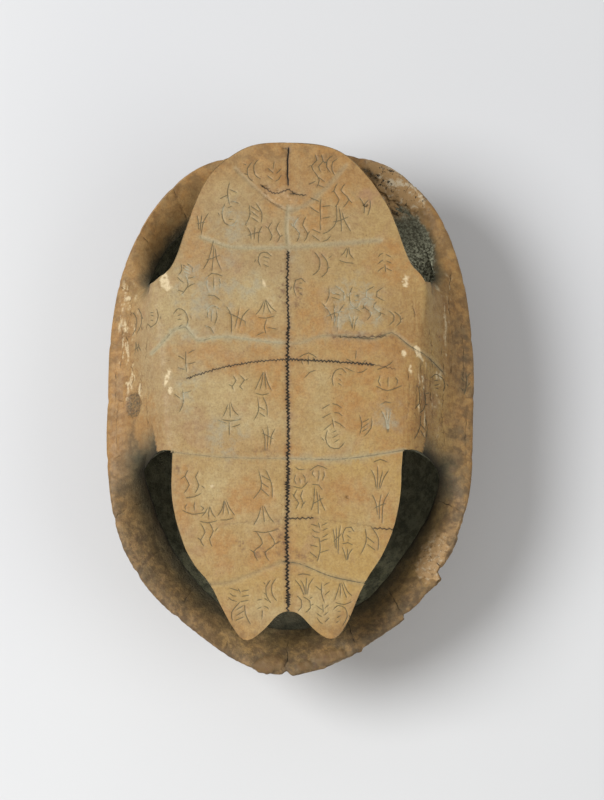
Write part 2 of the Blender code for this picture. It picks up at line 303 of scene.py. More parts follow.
# Brown patches on the bridges; on the right bridge they are also painted shade, darkening it where it curves
# away from the light.
BRIDGE_STAINS_AND_SHADE = (
    (49, -2, 10, 20, 0),
    (47, 28, 9, 18, 0),
    (66, 20, 6, 26, 0),
    (-58, -13, 8, 10, 0),
    (-66, -14, 8, 14, 0),
)
BROKEN_BONE = ((57.4, -60, 5.4, 11, -22),)
SCARRED_BONE = ((-4.6, 83.6, 5.4, 2.6, -14),)
DARK_PITS = (
    (60.4, -69.4, 2.2, 1.2, 40),
    (32.6, 97.6, 1.3, 4.4, 50),
    (-2.6, 103.6, 1.2, 0.5, 10),
    (-63.8, 0.4, 3, 5.2, 0),
    (22.6, -39.4, 0.8, 0.7, 0),
    (27.4, 42.4, 0.6, 0.4, 0),
    (-9.8, 87.6, 1.3, 0.5, -20),
    (1.6, 84.9, 1.3, 0.5, 10),
    (-5, 86.4, 0.9, 0.5, 20),
    (30.4, 80, 0.9, 0.5, 0),
)
CRUST = ((43, 94, 6, 15.5, 50),)
EARTH = ((49.8, 69.5, 7.5, 15.5, 20),)
HEAPED_EARTH = ((48, 65, 14, 21, 24),)
HEAPED_CRUST = ((37.5, 92.5, 9, 14.5, 50),)
# Over the tail the inside keeps its darker colour, as painted shadow under the plastron's edge, and the rim
# is less dark.
TAIL_HOLLOW = ((0, -86, 20, 20, 0),)

# Places with the smallest faces: which ones, how far beyond them, and the height that they all lie above.
ROUGH_PLACES = CREAM_CHIPS + FLAKING_BONE + BROKEN_BONE + SCARRED_BONE + DARK_PITS + CRUST + EARTH
ROUGH_MARGIN = 0.8
ROUGH_FOOT = 45.0

TAIL_PLATES = (
    (-8.6, -103.6, 6.6, 3.2, 8),
    (5.4, -104.4, 2.8, 2.4, 0),
    (16, -100.6, 6, 2.6, 14),
)
BLUE_STAINS = (
    (-34, 46, 14, 12, 30),
    (-16, 46, 8, 5, 0),
    (-26, -16, 8, 8, 0),
    (-42, 27, 8, 3.4, 0),
    (26, 38, 12, 12, 0),
    (38, -7, 6, 6, 0),
    (-24, 70, 5, 10, 0),
    (0.6, 70, 3, 9, 0),
    (-40, 4, 5, 8, 0),
)
RED_STAINS = (
    (28, 25.8, 10, 1.2, 0),
    (-12, -22, 7, 1.4, 0),
    (22.4, -39.6, 1.6, 1.2, 0),
    (-45.6, -30, 1, 4, 0),
    (-3.6, 46, 1.4, 7, 0),
    (2.6, 43, 1.4, 6, 0),
    (7, -63.6, 6, 2, -16),
    (-4, -56, 2, 8, 0),
    (-12, -62, 3, 2.4, 0),
    (-20, -58, 1.6, 2.6, 0),
)
DARK_STAINS = (
    (-60, -15, 7, 8, 0),
    (-63, -57, 8, 12, 20),
    (70.4, 18, 4, 22, 0),
    (69, -12, 5, 10, 0),
    (26, -96, 14, 8, -20),
    (-70, -36, 5, 12, 0),
    (-63, -60, 8, 16, 28),
    (-46, -80, 6, 10, 45),
    (0, -104, 34, 7, 0),
    (40, -86, 7, 16, -45),
    (67, -34, 6, 18, 0),
)
PALE_STAINS = (
    (58, 76, 6, 11, 12),
    (-64, 47, 5, 12, 0),
    (-12, -46, 10, 9, 0),
    (32, -42, 11, 11, 0),
    (0, 98, 18, 6, 0),
    (-30, -36, 9, 8, 0),
    (-32, 4, 15, 10, 0),
    (-12, 42, 12, 10, 0),
    (-14, -8, 12, 7, 0),
    (10, 4, 6, 12, 0),
    (16, -16, 12, 6, 0),
    (-27, 92, 8, 9, 0),
    (-12, -86, 9, 8, 0),
    (12, -84, 9, 8, 0),
    (-46, 38, 8, 14, 0),
)
ORANGE_STAINS = (
    (-70, -38, 6, 12, 0),
    (-63, -10, 8, 16, 0),
    (42, 21.6, 8, 5, 0),
    (-36, 20, 10, 4, 0),
    (18, 20.6, 14, 4.4, 0),
    (38, 3, 8, 7, 0),
    (30, -2, 14, 14, 0),
    (46, -6, 8, 14, 0),
    (-14, 30, 10, 7, 0),
    (-36, 58, 7, 9, 0),
    (10, 36, 8, 12, 0),
    (-6, 6, 6, 10, 0),
    (-16, -40, 10, 8, 0),
    (24, -40, 10, 8, 0),
    (-68, -6, 6, 26, 0),
    (40, -16, 8, 8, 0),
    (-8, -62, 12, 10, 0),
    (-2, 88, 12, 12, 0),
    (22, 88, 12, 10, 0),
    (34, 12, 16, 14, 0),
    (44, 56, 12, 10, 0),
    (-6, 18, 12, 12, 0),
    (-6, -20, 14, 4, 0),
    (-42, 76, 5, 12, 20),
    (4, 8, 5, 14, 0),
    (-26, -62, 8, 8, 0),
    (38, -44, 6, 16, 10),
    (8, 76, 8, 8, 0),
    (-44, -40, 5, 14, 0),
    (-22, 14, 16, 4, 0),
)

# Stains that only colour the bone, those of the bridges partly painted shade: the name of the mark, where it
# lies, how soft and how ragged its edge is, and the seed of the noise that makes it ragged.
STAINS = (
    ("stain", BLUE_STAINS, 9.0, 5.0, 14),
    ("rust", RED_STAINS, 1.6, 1.8, 15),
    ("pale", PALE_STAINS, 9.0, 4.0, 16),
    ("orange", ORANGE_STAINS, 9.0, 4.0, 17),
    ("crackle", CRACKLED_BONE, 4.0, 3.0, 35),
    ("bridge", BRIDGE_STAINS_AND_SHADE, 9.0, 2.4, 36),
    ("flesh", FLESH_SPOTS, 1.4, 1.8, 24),
    ("dark", DARK_STAINS, 8.0, 3.0, 33),
)

# Relief of the bone: heights and depths.
TOP_SWELL = 0.2
HIDDEN_SWELL = 0.3
INSIDE_SWELL = 0.3
RIPPLE_HEIGHT = 0.08
GRAIN_HEIGHT = 0.03
CHIP_DEPTH = 0.25
PIT_DEPTH = 0.8
FLAKE_HEIGHT = 0.16
FLAKE_STEPS = 2.2
BREAK_DEPTH = 0.4
SCAR_SHARE = 0.45
PLATE_HEIGHT = 1.1

# Crust and earth: how far they stand up, how soft the edge of their heaps is, and the levels that the heaps
# fill the pocket to. The earth falls away from the middle of the rim inwards, over EARTH_SLOPE_REACH.
CRUST_HEIGHT = 0.6
CRUST_LUMPS = 1.9
CRUMB_HEIGHT = 0.5
HEAP_EDGE = 5.0
CRUST_LEVEL = 58.5
EARTH_LEVEL = 56.4
EARTH_SLOPE = 0.16
EARTH_SLOPE_REACH = 20.0
RIM_MIDDLE = 58.0

# Shields of the carapace, as shares of the way out to the rim and as sizes in millimetres. The seams between
# them run in over the rim's under-face, further beside the openings than beside the bridges, and sway.
RIM_SHIELDS = 12
NAPE_SHIELD = 4.0
TAIL_SHIELD = 28.5
RIM_SEAM_WIDTH = 0.28
RIM_SEAM_SHARE = 0.35
WORN_SEAM_SHARE = 0.65
BAND_START = 0.8
BAND_TOP = 70.0
OPEN_BAND = 0.84
BRIDGE_BAND = 0.9
SEAM_BEND = 0.94
SEAM_SWAY = 0.006
TAIL_SEAM = ((-0.6, -93.0), (-1.6, -97.0), (-0.8, -101.0), (-2.0, -105.0), (-1.6, -110.0))
RIM_NOTCH = 0.3
WORN_NOTCH = 0.45
TAIL_NOTCH = 1.7
RIM_SHIELD_SHARE = 0.84
BACK_SHIELD_WIDTH = 19.0
NARROW_SHARE = 0.78
WIDE_SHARE = 1.12
LAST_SHARE = 0.6
BACK_SHIELD_ENDS = (82.0, 50.0, 16.0, -19.0, -52.0, -80.0)
DOME_FURROW_WIDTH = 0.9
DOME_FURROW_DEPTH = 0.5
GROWTH_STEP = 2.7
GROWTH_HEIGHT = 0.09

# The rim is sampled at RIM_STEPS bearings. Along its worn rear the shields end in steps, each with its place
# and how far it juts out, which die away over RIM_STEP_LENGTH.
RIM_STEPS = 180
RIM_STEP_LENGTH = 9.0
RIM_KNOBS = ((60.4, -68.4, 1.9), (46.6, -86.4, 1.2), (29.0, -98.0, 0.8), (66.4, -52.0, 0.6))


def mix(low, high, share):
    """The value that lies this share of the way from low to high."""
    return low + (high - low) * share


def ease(value, start, end):
    """A smooth step from 0 at start to 1 at end, for numbers or arrays."""
    share = np.clip((value - start) / (end - start), 0.0, 1.0)
    return share * share * (3 - 2 * share)


# Shaping the mesh: copy, rounding, finer faces.


def spread(start, sharpest):
    """Every face that can be reached from a face without crossing a sharper fold than this."""
    found = {start}
    waiting = [start]
    while waiting:
        for edge in waiting.pop().edges:
            if edge.calc_face_angle(math.pi) < sharpest:
                fresh = [face for face in edge.link_faces if face not in found]
                found.update(fresh)
                waiting.extend(fresh)
    return found


def shell_copy():
    """The plain shell in millimetres, merged, with the surface that each face belongs to."""
    bone = bmesh.new()
    bone.from_mesh(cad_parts["turtle_shell"].data)
    bmesh.ops.scale(bone, verts=bone.verts[:], vec=Vector((MM, MM, MM)))
    bmesh.ops.remove_doubles(bone, verts=bone.verts[:], dist=MERGE)
    bmesh.ops.join_triangles(
        bone,
        faces=bone.faces[:],
        angle_face_threshold=FLAT_JOIN,
        angle_shape_threshold=SHAPE_JOIN,
    )
    surface = bone.faces.layers.int.new("surface")
    middle = min(bone.faces, key=lambda face: (face.calc_center_median() - Vector((0, 0, 100))).length)
    for face in spread(middle, OUTER_FOLD):
        face[surface] = DOME
    for face in spread(middle, TOP_FOLD):
        face[surface] = TOP
    return bone


def round_lips(bone):
    """Rounds the sharp edges of the openings and smooths the whole shell once."""
    lips = [edge for edge in bone.edges if edge.calc_face_angle(0.0) > LIP_FOLD]
    bmesh.ops.bevel(
        bone,
        geom=lips,
        offset=LIP_ROUND,
        offset_type="OFFSET",
        affect="EDGES",
        segments=2,
        profile=0.5,
        material=-1,
        clamp_overlap=True,
    )
    rough = bpy.data.meshes.new("rough_shell")
    bone.to_mesh(rough)
    holder = bpy.data.objects.new("rough_shell", rough)
    bpy.context.scene.collection.objects.link(holder)
    smoothing = holder.modifiers.new("smoothing", "SUBSURF")
    smoothing.levels = 1
    smoothing.render_levels = 1
    graph = bpy.context.evaluated_depsgraph_get()
    smooth = bpy.data.meshes.new_from_object(holder.evaluated_get(graph))
    bone.clear()
    bone.from_mesh(smooth)
    bpy.data.objects.remove(holder)
    bpy.data.meshes.remove(rough)
    bpy.data.meshes.remove(smooth)


def surfaces_at(bone):
    """The surfaces that meet at each point."""
    surface = bone.faces.layers.int["surface"]
    return {vert: {face[surface] for face in vert.link_faces} for vert in bone.verts}


def lip_tree(bone, kinds):
    """A tree of the points along the edges of the openings, leaving out the plastron's own edge."""
    lips = [vert for vert in bone.verts if {TOP, INSIDE} <= kinds[vert] and vert.co.z < SOOT_AND_SHADE_LIP_TOP]
    tree = KDTree(len(lips))
    for number, vert in enumerate(lips):
        tree.insert(vert.co, number)
    tree.balance()
    return tree


def rim_places(bone):
    """Points round the rim at even bearings: tail, left side, head, right side and the tail again."""
    radius = np.zeros(RIM_STEPS)
    for vert in bone.verts:
        step = round((math.degrees(math.atan2(vert.co.x, vert.co.y)) + 180) * RIM_STEPS / 360) % RIM_STEPS
        radius[step] = max(radius[step], vert.co.xy.length)
    turn = np.radians(np.arange(RIM_STEPS + 1) * 360 / RIM_STEPS - 180)
    radius = np.append(radius, radius[0])
    return np.stack([radius * np.sin(turn), radius * np.cos(turn)], axis=1)


def rim_seams(rim):
    """Where the seams between the rim shields reach the rim, on each side from the head to the tail."""
    middle = RIM_STEPS // 2
    sides = []
    for half in (rim[middle:], rim[middle::-1]):
        length = np.concatenate([[0.0], np.cumsum(np.hypot(*np.diff(half, axis=0).T))])
        width = (length[-1] - NAPE_SHIELD - TAIL_SHIELD) / (RIM_SHIELDS - 1)
        seams = [NAPE_SHIELD + number * width for number in range(RIM_SHIELDS)]
        across, along = (np.interp(seams, length, half[:, axis]) for axis in (0, 1))
        sides.append(list(zip(across, along)))
    return sides


def band_seam_paths(rim):
    """The seams between the rim shields where they run in over the flat under-face of the rim."""
    paths = []
    for side in rim_seams(rim):
        for x, y in side[1:]:
            inner = OPEN_BAND if y < -30 or y > 60 else BRIDGE_BAND
            sway = SEAM_SWAY * math.sin(x + y)
            bend = (x * (SEAM_BEND + sway), y * (SEAM_BEND - sway))
            paths.append([(x * inner, y * inner), bend, (x, y)])
    paths.append(list(TAIL_SEAM))
    return paths


def quarter(bone, faces):
    """Cuts each of these faces into four."""
    edges = list(dict.fromkeys(edge for face in faces for edge in face.edges))
    bmesh.ops.subdivide_edges(bone, edges=edges, cuts=1, use_grid_fill=True)


def turned(x, y, blemish):
    """Places as seen from the middle of a blemish: how far across it and how far along it."""
    middle_x, middle_y, _, _, turn = blemish
    cos = math.cos(math.radians(turn))
    sin = math.sin(math.radians(turn))
    return (x - middle_x) * cos + (y - middle_y) * sin, (y - middle_y) * cos - (x - middle_x) * sin


def in_patch(place, blemishes, margin):
    """Whether a place lies within one of these blemishes or this close to it."""
    for blemish in blemishes:
        across, along = turned(place.x, place.y, blemish)
        if math.hypot(across / (blemish[2] + margin), along / (blemish[3] + margin)) < 1:
            return True
    return False


def cut_finer(bone):
    """Gives the carved side smaller faces than the rest, and the worn and encrusted places the smallest."""
    surface = bone.faces.layers.int["surface"]
    quarter(bone, [face for face in bone.faces if face[surface] == TOP])
    fine = []
    for face in bone.faces:
        place = face.calc_center_median()
        if place.z > ROUGH_FOOT and face.normal.z > 0 and in_patch(place, ROUGH_PLACES, ROUGH_MARGIN):
            fine.append(face)
    quarter(bone, fine)
    coarse = [face for face in fine if face.is_valid and face[surface] == INSIDE]
    quarter(bone, coarse)
    quarter(bone, [face for face in bone.faces if face[surface] == DOME])


# Lines on the plastron: furrows, seams, cracks and carved marks, each a path of points.


def smooth_path(points, step):
    """A path about one step between points, on a smooth curve through the given ones."""
    ends = [points[0], *points, points[-1]]
    path = []
    for before, start, end, after in zip(ends, ends[1:], ends[2:], ends[3:]):
        count = max(1, round(math.dist(start, end) / step))
        for number in range(count):
            share = number / count
            place = []
            for a, b, c, d in zip(before, start, end, after):
                bend = (2 * a - 5 * b + 4 * c - d) + (3 * b - 3 * c + d - a) * share
                place.append(b + 0.5 * share * ((c - a) + share * bend))
            path.append(tuple(place))
    path.append(tuple(points[-1]))
    return path


def zigzag_path(points, tooth, reach, chance):
    """A toothed path along a smooth one, with teeth of uneven length."""
    even = smooth_path(points, tooth / 2)
    path = [even[0]]
    side = 1
    for before, place, after in zip(even, even[1:], even[2:]):
        along = Vector((after[0] - before[0], after[1] - before[1])).normalized()
        swing = side * reach * chance.uniform(0.35, 1.35)
        slip = tooth * chance.uniform(-0.22, 0.22)
        x = place[0] - along.y * swing + along.x * slip
        y = place[1] + along.x * swing + along.y * slip
        path.append((x, y))
        side = -side
    path.append(even[-1])
    return path


def twig(chance):
    """A bent stem with short side cuts."""
    bend = chance.uniform(-0.14, 0.14)
    strokes = [[(0.0, 0.5), (bend, 0.0), (-bend, -0.5)]]
    for number in range(chance.choice((2, 3, 4))):
        side = 1 if number % 2 else -1
        height = 0.34 - 0.24 * number
        rise = chance.uniform(0.06, 0.2)
        bow = (side * 0.3, height + rise * 0.7)
        strokes.append([(side * 0.06, height), bow, (side * 0.5, height + rise * 1.4)])
    return strokes


def fan(chance):
    """Cuts that spread from one place, under a slanting cut."""
    strokes = []
    count = chance.choice((3, 4))
    for number in range(count):
        side = number - (count - 1) / 2
        top = chance.uniform(0.1, 0.3)
        strokes.append([(0.05 * side, -0.5), (0.16 * side, -0.1), (0.34 * side, top)])
    strokes.append([(-0.4, 0.36), (0.0, 0.46), (0.42, 0.4)])
    return strokes


def rungs(chance):
    """Two bent stems that draw together downwards, with short slanting cuts between them."""
    bend = chance.uniform(0.06, 0.16)
    strokes = [
        [(-0.46, 0.5), (-0.3 + bend, 0.06), (-0.24, -0.42)],
        [(0.34, 0.38), (0.42 - bend, -0.06), (0.02, -0.5)],
    ]
    for number in range(chance.choice((2, 3))):
        height = 0.24 - 0.24 * number
        slant = chance.uniform(0.08, 0.14)
        strokes.append([(-0.18, height - slant), (0.2, height + slant)])
    return strokes


def chevrons(chance):
    """Open pairs of slanting cuts, one above the other."""
    strokes = []
    for number in range(chance.choice((2, 3))):
        height = 0.5 - 0.36 * number
        drop = chance.uniform(0.16, 0.3)
        strokes.append([(-0.06, height), (-0.3, height - 0.4 * drop), (-0.46, height - drop)])
        strokes.append([(0.06, height - 0.04), (0.44, height - drop)])
    strokes.append([(0.02, -0.1), (chance.uniform(-0.1, 0.1), -0.5)])
    return strokes


def arcs(chance):
    """Two arcs bent the same way, one behind the other, with slanting ticks."""
    strokes = [
        [(-0.42, 0.5), (-0.12, 0.22), (-0.14, -0.16), (-0.44, -0.4)],
        [(-0.04, 0.42), (0.32, 0.12), (0.28, -0.26), (-0.02, -0.5)],
    ]
    for number in range(2):
        height = 0.24 - 0.4 * number
        rise = chance.uniform(0.06, 0.14)
        strokes.append([(0.3, height), (0.5, height + rise)])
    return strokes


def sheaf(chance):
    """Long cuts that spread upwards, bound by a slanting one."""
    strokes = []
    for number in range(3):
        side = number - 1
        lean = chance.uniform(-0.06, 0.06)
        top = 0.5 - chance.uniform(0.0, 0.16)
        foot = (0.12 * side - lean, -0.34 - 0.14 * number)
        strokes.append([(0.44 * side + lean, top), (0.2 * side, 0.04), foot])
    strokes.append([(-0.34, -0.12), (0.02, 0.0), (0.36, chance.uniform(0.06, 0.14))])
    return strokes


def rake(chance):
    """A bowed cut with bent ones of uneven length hanging from it, and a loose one below."""
    strokes = [[(-0.48, 0.24), (-0.06, 0.46), (0.48, 0.34)]]
    for number in range(3):
        side = number - 1
        length = chance.uniform(0.22, 0.5)
        bow = (0.36 * side, 0.28 - length * 0.5)
        strokes.append([(0.3 * side, 0.28), bow, (0.26 * side, 0.28 - length)])
    strokes.append([(-0.36, -0.3), (0.0, -0.34), (0.26, -0.5)])
    return strokes


def sickle(chance):
    """A long hooked cut with loose ticks in and beside its bend."""
    strokes = [[(-0.16, 0.5), (-0.3, 0.1), (-0.16, -0.34), (0.2, -0.46), (0.46, -0.2)]]
    for number in range(3):
        height = 0.34 - 0.26 * number
        rise = chance.uniform(-0.1, 0.1)
        strokes.append([(0.02, height), (0.26, height + rise + 0.08)])
    strokes.append([(-0.5, 0.18), (-0.4, -0.04)])
    return strokes


def ripples(chance):
    """Wavy cuts side by side, with a tick beside them."""
    strokes = []
    for number in range(2):
        x = -0.22 + 0.4 * number
        sway = chance.uniform(0.1, 0.18)
        strokes.append([(x, 0.5), (x - sway, 0.2), (x + sway, -0.14), (x - 0.06, -0.5)])
    strokes.append([(-0.48, 0.1), (-0.3, 0.24)])
    strokes.append([(0.34, -0.1), (0.5, -0.26)])
    return strokes


def carved_mark(motif, middle, width, height, chance):
    """The strokes of one motif, which may be turned about, at its place and size on the plastron."""
    lean = math.radians(chance.uniform(-7, 7))
    mirrored = chance.choice((-1, 1))
    inverted = chance.choice((-1, 1))
    strokes = []
    for stroke in motif(chance):
        path = []
        for u, v in stroke:
            across = mirrored * u * width + chance.uniform(-0.25, 0.25)
            along = inverted * v * height + chance.uniform(-0.25, 0.25)
            x = middle[0] + across * math.cos(lean) - along * math.sin(lean)
            y = middle[1] + across * math.sin(lean) + along * math.cos(lean)
            path.append((x, y))
        strokes.append(path if len(path) == 2 else smooth_path(path, CARVED_STEP))
    return strokes


def carved_strokes():
    """Every stroke of the carved marks, column by column. A tall mark is two motifs, one above the other."""
    chance = random.Random(CARVED_SEED)
    motifs = (twig, fan, rungs, chevrons, arcs, sheaf, rake, sickle, ripples)
    strokes = []
    last = None
    for x, top, bottom, marks, width in CARVED_COLUMNS:
        height = (top - bottom) / marks
        for number in range(marks):
            ends = [top - number * height]
            if height > TALL_MARK:
                ends.append(ends[0] - height * chance.uniform(0.4, 0.6))
            ends.append(top - (number + 1) * height)
            for high, low in zip(ends, ends[1:]):
                motif = chance.choice([other for other in motifs if other is not last])
                last = motif
                middle = (x + chance.uniform(-0.4, 0.4), (high + low) / 2)
                strokes.extend(carved_mark(motif, middle, CARVED_SPREAD * width, high - low, chance))
    return strokes


def seam_paths():
    """Every zigzag seam, as its path and how open it is."""
    chance = random.Random(CARVED_SEED)
    return [(zigzag_path(points, tooth, reach, chance), share) for points, tooth, reach, share in SEAMS]


def faces_by_cell(faces):
    """Faces sorted by the square of the floor plan that their middles lie over."""
    cells = {}
    for face in faces:
        keep_face(cells, face)
    return cells


def keep_face(cells, face):
    """Files a face under the square that its middle lies over."""
    place = face.calc_center_median()
    cells.setdefault((math.floor(place.x / CELL), math.floor(place.y / CELL)), []).append(face)


def faces_along(cells, start, end, reach):
    """The faces that a line crosses, or that lie within reach of it, seen from above."""
    low = [min(start[axis], end[axis]) - reach - 1.0 for axis in (0, 1)]
    high = [max(start[axis], end[axis]) + reach + 1.0 for axis in (0, 1)]
    length = math.dist(start, end)
    along = ((end[0] - start[0]) / length, (end[1] - start[1]) / length)
    found = []
    for column in range(math.floor(low[0] / CELL), math.floor(high[0] / CELL) + 1):
        for row in range(math.floor(low[1] / CELL), math.floor(high[1] / CELL) + 1):
            for face in cells.get((column, row), ()):
                forward = []
                sideways = []
                for vert in face.verts:
                    x = vert.co.x - start[0]
                    y = vert.co.y - start[1]
                    forward.append(x * along[0] + y * along[1])
                    sideways.append(y * along[0] - x * along[1])
                if max(forward) < -reach or min(forward) > length + reach:
                    continue
                if max(sideways) < -reach or min(sideways) > reach:
                    continue
                found.append(face)
    return found


def cut_faces(faces, place, side):
    """Splits faces along the upright plane through a place, and returns the faces that this adds."""
    verts = [vert for face in faces for vert in face.verts]
    height = {vert: (vert.co.x - place[0]) * side[0] + (vert.co.y - place[1]) * side[1] for vert in verts}
    for edge in dict.fromkeys(edge for face in faces for edge in face.edges):
        low, high = edge.verts
        if height[low] * height[high] < 0 and min(abs(height[low]), abs(height[high])) > CUT_SNAP:
            share = height[low] / (height[low] - height[high])
            height[bmesh.utils.edge_split(edge, low, share)[1]] = 0.0
    added = []
    for face in faces:
        near = [vert for vert in face.verts if abs(height[vert]) <= CUT_SNAP]
        far = [height[vert] for vert in face.verts if abs(height[vert]) > CUT_SNAP]
        if len(near) == 2 and far and min(far) < 0 < max(far):
            added.append(bmesh.utils.face_split(face, *near)[0])
    return added


def cut_line(cells, path, half_width):
    """Cuts the faces along the edges and the middle of a line, so that its groove comes out crisp."""
    for start, end in zip(path, path[1:]):
        if math.dist(start, end) < CUT_SNAP:
            continue
        along = Vector((end[0] - start[0], end[1] - start[1])).normalized()
        side = Vector((-along.y, along.x))
        for offset in (-half_width, 0.0, half_width):
            faces = faces_along(cells, start, end, half_width)
            for face in cut_faces(faces, Vector(start) + side * offset, side):
                keep_face(cells, face)


def crack_paths():
    """Every fine crack of the margins, a little ragged."""
    chance = random.Random(CARVED_SEED)
    return [zigzag_path(points, CRACK_TOOTH, CRACK_REACH, chance) for points in MARGIN_CRACKS]


def cut_marks(bone, seams, band_seams, cracks, strokes):
    """Cuts every narrow line into the faces of the carved side."""
    surface = bone.faces.layers.int["surface"]
    cells = faces_by_cell(face for face in bone.faces if face[surface] == TOP)
    lines = [(smooth_path(path, FURROW_STEP), half_width) for half_width, _, _, path in PLASTRON_FURROWS]
    lines += [(path, SEAM_WIDTH) for path, _ in seams]
    lines += [(path, RIM_SEAM_WIDTH) for path in band_seams]
    lines += [(path, CRACK_WIDTH) for path in cracks]
    lines += [(path, CARVED_WIDTH) for path in strokes]
    for path, half_width in lines:
        cut_line(cells, path, half_width)


# Relief: how far each point is moved, and what lies on it.


class Points:
    """The points of the shell as arrays, with the fields that relief and finish are made from."""

    def __init__(self, bone, rim):
        bone.normal_update()
        self.place = np.array([vert.co for vert in bone.verts])
        self.normal = np.array([vert.normal for vert in bone.verts])
        kinds = surfaces_at(bone)
        self.top = np.array([TOP in kinds[vert] for vert in bone.verts])
        self.dome = np.array([DOME in kinds[vert] and TOP not in kinds[vert] for vert in bone.verts])
        self.inside = ~self.top & ~self.dome
        tree = lip_tree(bone, kinds)
        self.lip = np.array([tree.find(vert.co)[2] for vert in bone.verts])
        self.x, self.y, self.z = self.place.T
        bearing = np.arctan2(self.x, self.y)
        radius = np.interp(bearing, np.linspace(-math.pi, math.pi, RIM_STEPS + 1), np.hypot(*rim.T))
        self.out = np.hypot(self.x, self.y) / radius

    def blank(self):
        """Nought for each point."""
        return np.zeros(len(self.x))

    def grain(self, size, seed, where=None):
        """Smooth noise from about -1 to 1, with bumps of about this size."""
        chosen = np.ones(len(self.x), bool) if where is None else where
        found = self.blank()
        shift = Vector((3.1, 5.7, 7.3)) * seed
        found[chosen] = [noise.noise(Vector(place) / size + shift) for place in self.place[chosen]]
        return found

    def cells(self, size, seed, where):
        """Distance to the nearest of scattered middles about this far apart, as a share of that."""
        found = np.ones(len(self.x))
        shift = Vector((5.3, 2.9, 8.1)) * seed
        found[where] = [noise.voronoi(Vector(place) / size + shift)[0][0] for place in self.place[where]]
        return found

    def distance(self, path, reach):
        """How far each point near a path seen from above is from it and along it, and the path's length."""
        nearest = np.full(len(self.x), np.inf)
        along = self.blank()
        passed = 0.0
        for start, end in zip(path, path[1:]):
            length = math.dist(start, end)
            if not length:
                continue
            low = [min(start[axis], end[axis]) - reach for axis in (0, 1)]
            high = [max(start[axis], end[axis]) + reach for axis in (0, 1)]
            near = np.flatnonzero(
                (self.x > low[0]) & (self.x < high[0]) & (self.y > low[1]) & (self.y < high[1])
            )
            forward = (end[0] - start[0]) / length, (end[1] - start[1]) / length
            x = self.x[near] - start[0]
            y = self.y[near] - start[1]
            share = np.clip(x * forward[0] + y * forward[1], 0.0, length)
            gap = np.hypot(x - share * forward[0], y - share * forward[1])
            closer = gap < nearest[near]
            nearest[near[closer]] = gap[closer]
            along[near[closer]] = passed + share[closer]
            passed += length
        return nearest, along, passed

    def groove(self, path, half_width, taper):
        """1 along the bottom of a line's groove, 0 at its edges and beyond, and less towards its ends."""
        gap, along, length = self.distance(path, half_width)
        ends = 1.0
        if taper:
            ends = np.clip(np.minimum(along, length - along) / taper + 0.25, 0.0, 1.0)
        return np.where(self.top, np.clip(1 - gap / half_width, 0.0, 1.0) * ends, 0.0)

    def patch(self, blemishes, soft, ragged=0.0, seed=1):
        """1 within the blemishes, 0 outside, over a soft edge that noise makes ragged."""
        wander = ragged * self.grain(2.2, seed) if ragged else 0.0
        found = self.blank()
        for blemish in blemishes:
            half_width, half_length = blemish[2:4]
            across, along = turned(self.x, self.y, blemish)
            radius = np.hypot(across / half_width, along / half_length)
            edge = (1 - radius) * min(half_width, half_length) + wander
            found = np.maximum(found, ease(edge, -soft / 2, soft / 2))
        return found


def carapace_paths(rim):
    """Furrows between the shields of the carapace, seen from above."""
    steps = np.linspace(-math.pi, math.pi, RIM_STEPS + 1)
    paths = [[tuple(place) for place in rim * RIM_SHIELD_SHARE]]
    for side, seams in zip((1, -1), rim_seams(rim)):
        for x, y in seams:
            paths.append([(RIM_SHIELD_SHARE * x, RIM_SHIELD_SHARE * y), (x, y)])
        corners = []
        for start, end in zip(BACK_SHIELD_ENDS, BACK_SHIELD_ENDS[1:]):
            corners.append((side * BACK_SHIELD_WIDTH * NARROW_SHARE, start))
            corners.append((side * BACK_SHIELD_WIDTH * WIDE_SHARE, (start + end) / 2))
        corners.append((side * BACK_SHIELD_WIDTH * LAST_SHARE, BACK_SHIELD_ENDS[-1]))
        paths.append(corners)
        for x, y in corners[1:8:2]:
            bearing = math.atan2(x * 2.4, y)
            reach = RIM_SHIELD_SHARE * np.interp(bearing, steps, np.hypot(*rim.T))
            paths.append([(x, y), (reach * math.sin(bearing), reach * math.cos(bearing))])
    half = BACK_SHIELD_WIDTH * NARROW_SHARE
    for y in BACK_SHIELD_ENDS:
        paths.append([(-half, y), (0.0, y + 2.0), (half, y)])
    return paths


def carve_furrows(points, marks):
    """How far the furrows of the plastron lift each point, with the silt and the dark line in them."""
    furrow = points.blank()
    silt = points.blank()
    line = points.blank()
    for half_width, pale, dark, path in PLASTRON_FURROWS:
        gap = points.distance(smooth_path(path, FURROW_STEP), FURROW_REACH)[0] / half_width
        hollow = np.clip(1 - gap, 0, 1) * points.top
        furrow = np.maximum(furrow, hollow)
        silt = np.maximum(silt, pale * np.clip(SILT_SPREAD - gap, 0, 1) * points.top)
        line = np.maximum(line, mix(0.3, 1.0, dark) * hollow)
    marks["furrow"] = furrow
    marks["silt"] = silt
    marks["line"] = line
    return -FURROW_DEPTH * furrow


